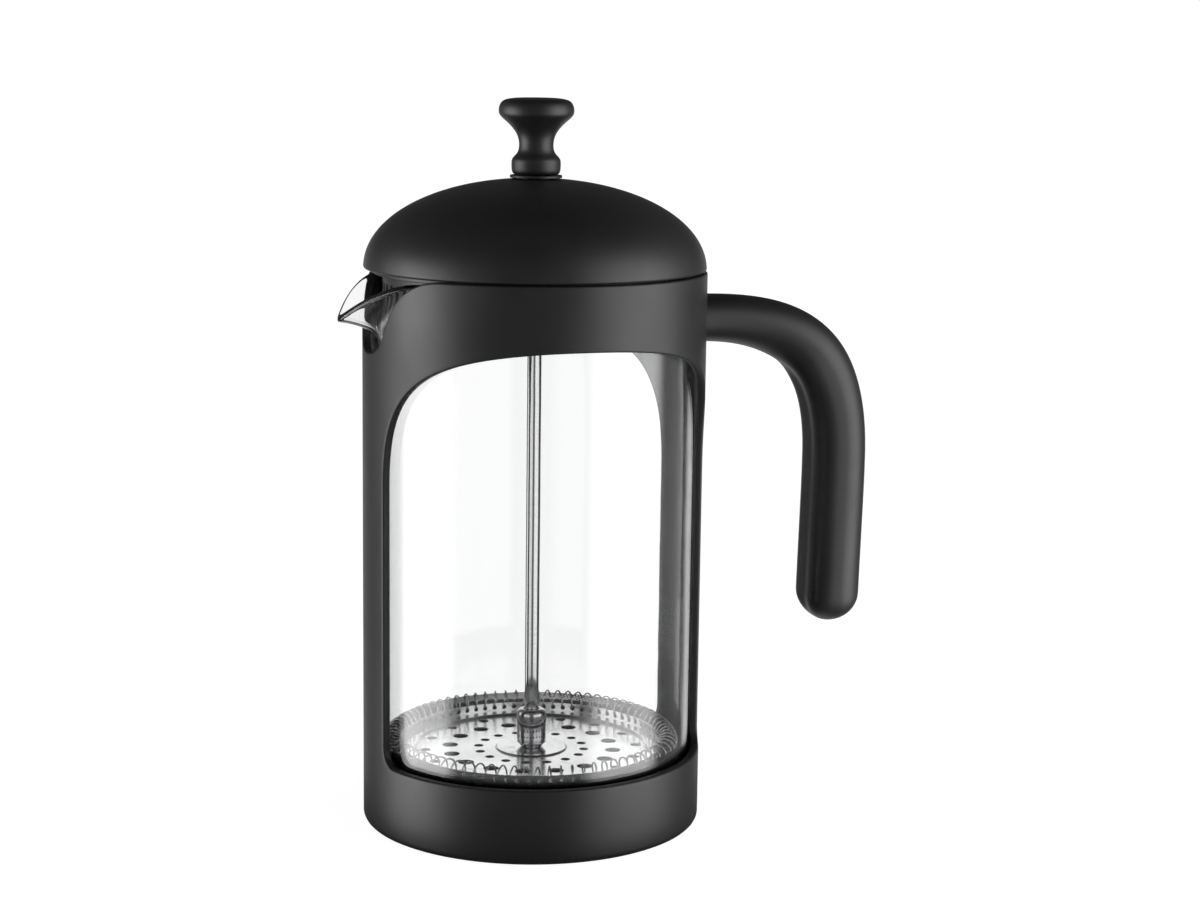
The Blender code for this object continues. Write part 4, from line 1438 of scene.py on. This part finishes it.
boss = turned("boss", rounded([
    (STUD_BORE, flat_top + BOSS_RISE, 0.1), (BOSS_TOP_R, flat_top + BOSS_RISE, 0.35),
    (BOSS_FOOT_R, flat_top - 0.05, 0), (STUD_BORE, flat_top - 0.05, 0)], closed=True),
    sheet_steel, closed=True, steps=96)
edge = turned("edge", rounded([
    (36.6, flat_top, 0), (37.4, flat_top + STEP_UP, 0.4), (WALL_R, flat_top + STEP_UP, 0),
    (WALL_R, flat_top + STEP_UP - PLATE_T, 0.3), (37.7, flat_top + STEP_UP - PLATE_T, 0.3),
    (36.9, plate_low, 0), (36.6, plate_low, 0)], closed=True), sheet_steel, closed=True,
    steps=144)
wall = grow("wall", strip_tree, {
    "Radius": WALL_R * MM, "Low": (flat_top + STEP_UP - 0.3) * MM, "High": WALL_HIGH * MM,
    "Thickness": 0.35 * MM, "Holes": COIL_TURNS, "Pitch": 2 * math.pi / COIL_TURNS,
    "Hole Width": 1.6 * MM, "Hole Height": 1.6 * MM, "Corner": 0.8 * MM,
    "Hole Middle": 23.5 * MM, "Cuts": 143}, sheet_steel)
keep("spiral_plate", one_piece("spring_plate", [flat, boss, edge, wall], sheet_steel))

# %% [markdown]
# ## Coil spring
#
# A long thin spring is bent into a ring and its ends are hooked together. It presses the cloth
# against the glass all the way round. A circle of points is enough: each point is pushed out,
# in, up and down by its own place in the winding, and a thin tube follows the line.

# %% Tree: coil, and the spring
coil_tree, coil_in, coil_out = new_group(
    "GeometryNodeTree", "ring_coil",
    [("Ring Radius", FLOAT, 0.04), ("Height", FLOAT, 0.02), ("Coil Radius", FLOAT, 0.003),
     ("Wire Radius", FLOAT, 0.0003), ("Turns", INT, 60), ("Points Per Turn", INT, 18),
     ("Wire Sides", INT, 6), ("Material", MATERIAL, None)], [("Geometry", GEOMETRY)])


def build_coil_tree(tree, given, out):
    value = given.outputs
    count = times(tree, value["Turns"], value["Points Per Turn"])
    circle = add(tree, "GeometryNodeCurvePrimitiveCircle",
                 {"Resolution": count, "Radius": value["Ring Radius"]})
    index = add(tree, "GeometryNodeInputIndex").outputs[0]
    round_ring = calc(tree, "DIVIDE", times(tree, index, 2 * math.pi), count)
    winding = times(tree, round_ring, value["Turns"])
    reach = plus(tree, value["Ring Radius"],
                 times(tree, value["Coil Radius"], calc(tree, "COSINE", winding)))
    lift = plus(tree, value["Height"],
                times(tree, value["Coil Radius"], calc(tree, "SINE", winding)))
    wound = add(tree, "GeometryNodeSetPosition", {
        0: circle.outputs[0], "Position": on_circle(tree, reach, round_ring, lift)})
    wire = add(tree, "GeometryNodeCurvePrimitiveCircle",
               {"Resolution": value["Wire Sides"], "Radius": value["Wire Radius"]})
    tube = add(tree, "GeometryNodeCurveToMesh", {0: wound.outputs[0], 1: wire.outputs[0]})
    finish_tree(tree, tube.outputs[0], value["Material"], out)


build_coil_tree(coil_tree, coil_in, coil_out)
WIRE_R = 0.28
spring_low, spring_high, spring_r = in_mm("spiral_spring")
coil_z = (spring_low + spring_high) / 2
coil_r = (spring_high - spring_low) / 2 - WIRE_R
coil_ring_r = spring_r - coil_r - WIRE_R
keep("spiral_spring", grow("coil_spring", coil_tree, {
    "Ring Radius": coil_ring_r * MM, "Height": coil_z * MM, "Coil Radius": coil_r * MM,
    "Wire Radius": WIRE_R * MM, "Turns": COIL_TURNS, "Points Per Turn": 18, "Wire Sides": 6},
    spring_steel, sharp=75))

# %% [markdown]
# ## Filter cloth
#
# The woven screen lies flat under the plate and turns up round the outside of the coil. It is
# spun as a thin shell. For the weave it needs a map of its own surface: each point is laid out
# at its true distance from the middle along the cloth, so the threads keep their size where
# the cloth turns up. They are drawn wider apart than real ones, so that a weave can be seen.

# %% Make the filter cloth
CLOTH_T = 0.25
CLOTH_BORE = 1.9
CLOTH_FLAT = 36.8
THREAD_PITCH = 0.8
cloth_low, cloth_high, cloth_r = in_mm("filter_mesh")


def cloth_side(thick):
    """A side of the cloth, from its bore to the top of its upturned edge."""
    low = cloth_low + thick
    side = [(CLOTH_BORE * MM, low * MM), (CLOTH_FLAT * MM, low * MM)]
    for k in range(9):
        turn = math.radians(-90 + 90 * k / 8)
        side.append(((coil_ring_r + (cloth_r - coil_ring_r - thick) * math.cos(turn)) * MM,
                     (coil_z + (coil_z - cloth_low - thick) * math.sin(turn)) * MM))
    return side + [((cloth_r - thick) * MM, cloth_high * MM)]


def make_cloth():
    bm = spun(cloth_side(CLOTH_T) + cloth_side(0.0)[::-1], closed=True, steps=192)
    cloth_map = bm.loops.layers.uv.new("cloth")
    bend_r, bend_z = coil_ring_r * MM, coil_z * MM
    bend = (cloth_r - coil_ring_r) * MM
    for face in bm.faces:
        for loop in face.loops:
            p = loop.vert.co
            r = math.hypot(p.x, p.y)
            walk = r
            if r > bend_r:
                turn = math.atan2(p.z - bend_z, r - bend_r)
                walk = bend_r + bend * (min(turn, 0.0) + math.pi / 2) + max(0.0, p.z - bend_z)
            x, y = p.x / r * walk, p.y / r * walk
            loop[cloth_map].uv = ((x + y) / (THREAD_PITCH * MM), (x - y) / (THREAD_PITCH * MM))
    return mesh_piece("filter_cloth", bm, woven_steel)


keep("filter_mesh", make_cloth())

# %% [markdown]
# ## Cross plate and stud
#
# The lowest disc backs the cloth. Two rings of petals and a few small holes near its edge are
# cut out of it, so that it holds the cloth without closing it. It comes from the same tree as
# the spring plate. A headed stud goes up through everything into the hub. The head
# has a slot for a coin or a driver, since this stack is taken apart to be washed.

# %% Make the cross plate and stud
PETALS = ((12.5, 4.0, 9.0, 9.0, 1.8), (26.5, 15.5, 22.5, 13.5, 2.6), (35.2, 1.6, 1.6, 1.6, 0.8))
PETAL_PHASES = (0.0, 0.0, math.radians(30))
cross_low, cross_high, cross_r = in_mm("cross_plate")
petals = {"Radius": cross_r * MM, "Bore": STUD_BORE * MM, "Low": cross_low * MM,
          "Thickness": (cross_high - cross_low) * MM}
for letter, sizes, phase in zip(LETTERS, PETALS, PETAL_PHASES):
    petals.update(ring_values(letter, *(size * MM for size in sizes), 6, phase))
keep("cross_plate", grow("petal_plate", disc_tree, petals, sheet_steel))
STUD_R = 1.5
STUD_HEAD = 1.4
SLOT_HALF, SLOT_ARM = 0.4 * MM, 5 * MM


def make_stud():
    low, high, head_r = in_mm("cross_stud")
    head = spun(rounded([(0, high, 0), (STUD_R, high, 0.3), (STUD_R, low + STUD_HEAD, 0.05),
                         (head_r, low + STUD_HEAD, 0.15), (head_r, low, 0.45), (0, low, 0)]),
                steps=48)
    stud = mesh_piece("slotted_stud", head, sheet_steel)
    slot = prism([(SLOT_ARM, SLOT_HALF), (-SLOT_ARM, SLOT_HALF), (-SLOT_ARM, -SLOT_HALF),
                  (SLOT_ARM, -SLOT_HALF)], (low - 0.6) * MM, (low + 0.6) * MM)
    return carved(stud, slot)


keep("cross_stud", make_stud())

# %% [markdown]
# ## Tie every piece to its body
#
# Each finished piece stands for one plain piece of the frame. It rides on the same body and
# hides the plain one.

# %% Tie the pieces
node_body = {node: body for body, nodes in frame["record"]["behaviour"]["bodies"].items()
             for node in nodes}
for node, piece in pieces.items():
    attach(piece, node_body[node])
    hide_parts(node)

# %% [markdown]
# ## Directions in the studio
#
# Lights and floor are arranged by heading, counted from the camera's side of the press. Both
# also need to know what kind of ray is asking. A Light Path node tells a line of sight, which
# may pass through glass, from a reflection, and the two are given different things to see.
# Through glass the studio's two sides stay a little darker, which draws lines along its edges.

# %% Headings and lines of sight
def heading(degrees):
    """A level direction, counted from the camera's side of the press towards its right."""
    turn = CAMERA_AZIMUTH + math.radians(degrees)
    return (math.sin(turn), -math.cos(turn))


LEFT_BOX = heading(-84)
RIGHT_BOX = heading(72)
BACKDROP = heading(180)
LEFT_SCREEN = heading(-66)
RIGHT_SCREEN = heading(50)


def cosine(degrees):
    return math.cos(math.radians(degrees))


def along(tree, level, direction):
    """How closely a level direction follows a heading: the cosine of the angle between."""
    return add(tree, "ShaderNodeVectorMath", {0: level, 1: (*direction, 0.0)},
               operation="DOT_PRODUCT").outputs["Value"]


def seen_directly(tree, level):
    """1 for a line of sight, straight or through glass, and 0 once it has been mirrored."""
    path = add(tree, "ShaderNodeLightPath").outputs
    unbounced = calc(tree, "LESS_THAN", plus(tree, path["Glossy Depth"], path["Diffuse Depth"]),
                     0.5)
    open_end = spread(tree, calc(tree, "ABSOLUTE", along(tree, level, BACKDROP)), cosine(66),
                      cosine(44), 0.6, 1.0, smooth=True)
    through_glass = times(tree, times(tree, path["Is Transmission Ray"], unbounced), open_end)
    return calc(tree, "MAXIMUM", path["Is Camera Ray"], through_glass)


print("headings ready")

# %% [markdown]
# ## Floor
#
# A plain pale floor runs out of sight on all sides. Seen directly it is nearly white, because
# it glows a little of its own, with only a breath of shadow under the press. In a reflection it
# is dim close to the press and isn't there at all further out, so that the black plastic
# mirrors the studio's lights nearly down to its foot.

# %% Make the floor
FLOOR_SIZE = 40.0
FLOOR_SINK = 0.2 * MM
GLOW_SHARE, GLOW = 0.62, 1.52
DIM_FROM, DIM_TO = 0.045, 0.105


def make_floor():
    pale, tree, shader, place = new_material("pale_floor", {"Roughness": 0.8,
                                                            "Specular IOR Level": 0.1})
    paper = use_group(tree, skin_group, {"Position": place, "Grain Size": 0.002,
                                         "Patch Size": 0.6})
    tree.links.new(tinted(tree, paper["Tone"], (0.86, 0.86, 0.86), (0.88, 0.88, 0.88)),
                   shader.inputs["Base Color"])
    glow = add(tree, "ShaderNodeEmission", {"Color": (1.0, 1.0, 1.0, 1.0), "Strength": GLOW})
    lit = add(tree, "ShaderNodeMixShader",
              {0: GLOW_SHARE, 1: shader.outputs[0], 2: glow.outputs[0]})
    dim = add(tree, "ShaderNodeBsdfDiffuse", {"Color": (0.45, 0.45, 0.45, 1.0)})
    gone = add(tree, "ShaderNodeBsdfTransparent")
    away = add(tree, "ShaderNodeVectorMath", {0: place}, operation="LENGTH").outputs["Value"]
    mirrored = add(tree, "ShaderNodeMixShader", {
        0: spread(tree, away, DIM_FROM, DIM_TO, smooth=True), 1: dim.outputs[0],
        2: gone.outputs[0]})
    level = add(tree, "ShaderNodeVectorMath", {0: place}, operation="NORMALIZE").outputs[0]
    mix = add(tree, "ShaderNodeMixShader", {0: seen_directly(tree, level),
                                            1: mirrored.outputs[0], 2: lit.outputs[0]})
    tree.links.new(mix.outputs[0], tree.nodes["Material Output"].inputs["Surface"])
    bm = bmesh.new()
    bmesh.ops.create_circle(bm, cap_ends=True, segments=96, radius=FLOOR_SIZE / 2)
    floor = mesh_piece("pale_floor", bm, pale)
    floor.data.transform(Matrix.Translation((0, 0, -FLOOR_SINK)))
    floor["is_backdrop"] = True


make_floor()
print(f"floor {FLOOR_SIZE:.0f} m across")

# %% [markdown]
# ## Light
#
# The press is lit from both sides by tall soft boxes, with a bright wall behind it and hardly
# anything in front. That is what gives black plastic its shape: two long soft highlights near
# its edges and a dark middle. The whole studio is painted into the world, as brightness by
# direction, which is soft and free of noise. The bright metal inside the glass would mirror
# too little of that, so a ray that has gone deep through glass finds wide screens instead.

# %% Paint the lights
# Each box: its heading, the angles from it at which it is gone and full, the heights at which
# it is gone and full (-1 is straight down, 1 straight up), and its brightness.
BOXES = ((LEFT_BOX, 29, 12, 0.50, 0.08, 4.3), (RIGHT_BOX, 37, 13, 0.85, 0.18, 3.5))
BACKDROP_BRIGHTNESS = 0.7
SCREEN_GLIMMER = 0.12


def towards(tree, level, direction, gone, full):
    """1 within the full angle of a heading, fading to 0 at the angle where it is gone."""
    return spread(tree, along(tree, level, direction), cosine(gone), cosine(full), smooth=True)


def paint_boxes(tree, level, up):
    lights = [times(tree, towards(tree, level, direction, gone, full),
                    spread(tree, up, top, body, 0.0, brightness, smooth=True))
              for direction, gone, full, top, body, brightness in BOXES]
    return times(tree, plus(tree, *lights), spread(tree, up, -0.85, -0.35, smooth=True))


def paint_backdrop(tree, level, up):
    return times(tree, towards(tree, level, BACKDROP, 38, 14),
                 times(tree, spread(tree, up, 0.16, -0.04, smooth=True), BACKDROP_BRIGHTNESS))


def paint_front(tree, level, up):
    """A faint even light, weakest straight up and towards the backdrop."""
    behind = spread(tree, towards(tree, level, BACKDROP, 66, 20), 0.0, 1.0, 1.0, 0.35)
    return times(tree, spread(tree, up, 1.0, 0.35, 0.10, 0.25, smooth=True), behind)


def paint_screens(tree, level, up):
    """What the metal inside the glass mirrors: a screen behind and one on either side."""
    sides = plus(tree, times(tree, towards(tree, level, LEFT_SCREEN, 56, 44), 0.8),
                 towards(tree, level, RIGHT_SCREEN, 36, 28))
    sides = times(tree, sides, spread(tree, up, -0.42, -0.34, 0.15, 1.0))
    screens = plus(tree, towards(tree, level, BACKDROP, 32, 14), sides)
    screens = times(tree, screens, spread(tree, up, 0.58, 0.36, 0.05, 1.0, smooth=True))
    return plus(tree, screens, SCREEN_GLIMMER)


print("lights:", len(BOXES), "boxes, a backdrop and three screens")


# %% Light the studio
def build_world():
    world = bpy.data.worlds.new("studio")
    bpy.context.scene.world = world
    world.use_nodes = True
    tree = world.node_tree
    looking = add(tree, "ShaderNodeTexCoord").outputs["Generated"]
    split = add(tree, "ShaderNodeSeparateXYZ", {0: looking}).outputs
    up = split[2]
    level = add(tree, "ShaderNodeVectorMath", {0: xyz(tree, split[0], split[1])},
                operation="NORMALIZE").outputs[0]
    outside = plus(tree, plus(tree, paint_boxes(tree, level, up),
                              paint_backdrop(tree, level, up)), paint_front(tree, level, up))
    depth = add(tree, "ShaderNodeLightPath").outputs["Transmission Depth"]
    within = calc(tree, "GREATER_THAN", depth, 2.5)
    room = spread(tree, within, 0.0, 1.0, outside, paint_screens(tree, level, up))
    seen = times(tree, seen_directly(tree, level),
                 spread(tree, up, 0.75, 0.35, smooth=True))
    strength = plus(tree, times(tree, room, minus(tree, 1.0, seen)), seen)
    background = tree.nodes["Background"]
    background.inputs["Color"].default_value = (1.0, 1.0, 1.0, 1.0)
    tree.links.new(strength, background.inputs["Strength"])


build_world()
bpy.context.scene.view_settings.view_transform = "Standard"
print("studio world built")

# %% [markdown]
# ## Both boxes
#
# The plain press's box and the dressed one's are both printed, so that they can be compared.
# The dressed press has to stay inside the plain one's box.

# %% Print both boxes
visual_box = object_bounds()


def plain(box):
    return [[float(value) for value in corner] for corner in box]


for label, box in (("cad", cad_box), ("visual", visual_box)):
    print(label, "box:", [[round(value / MM, 1) for value in corner] for corner in plain(box)])
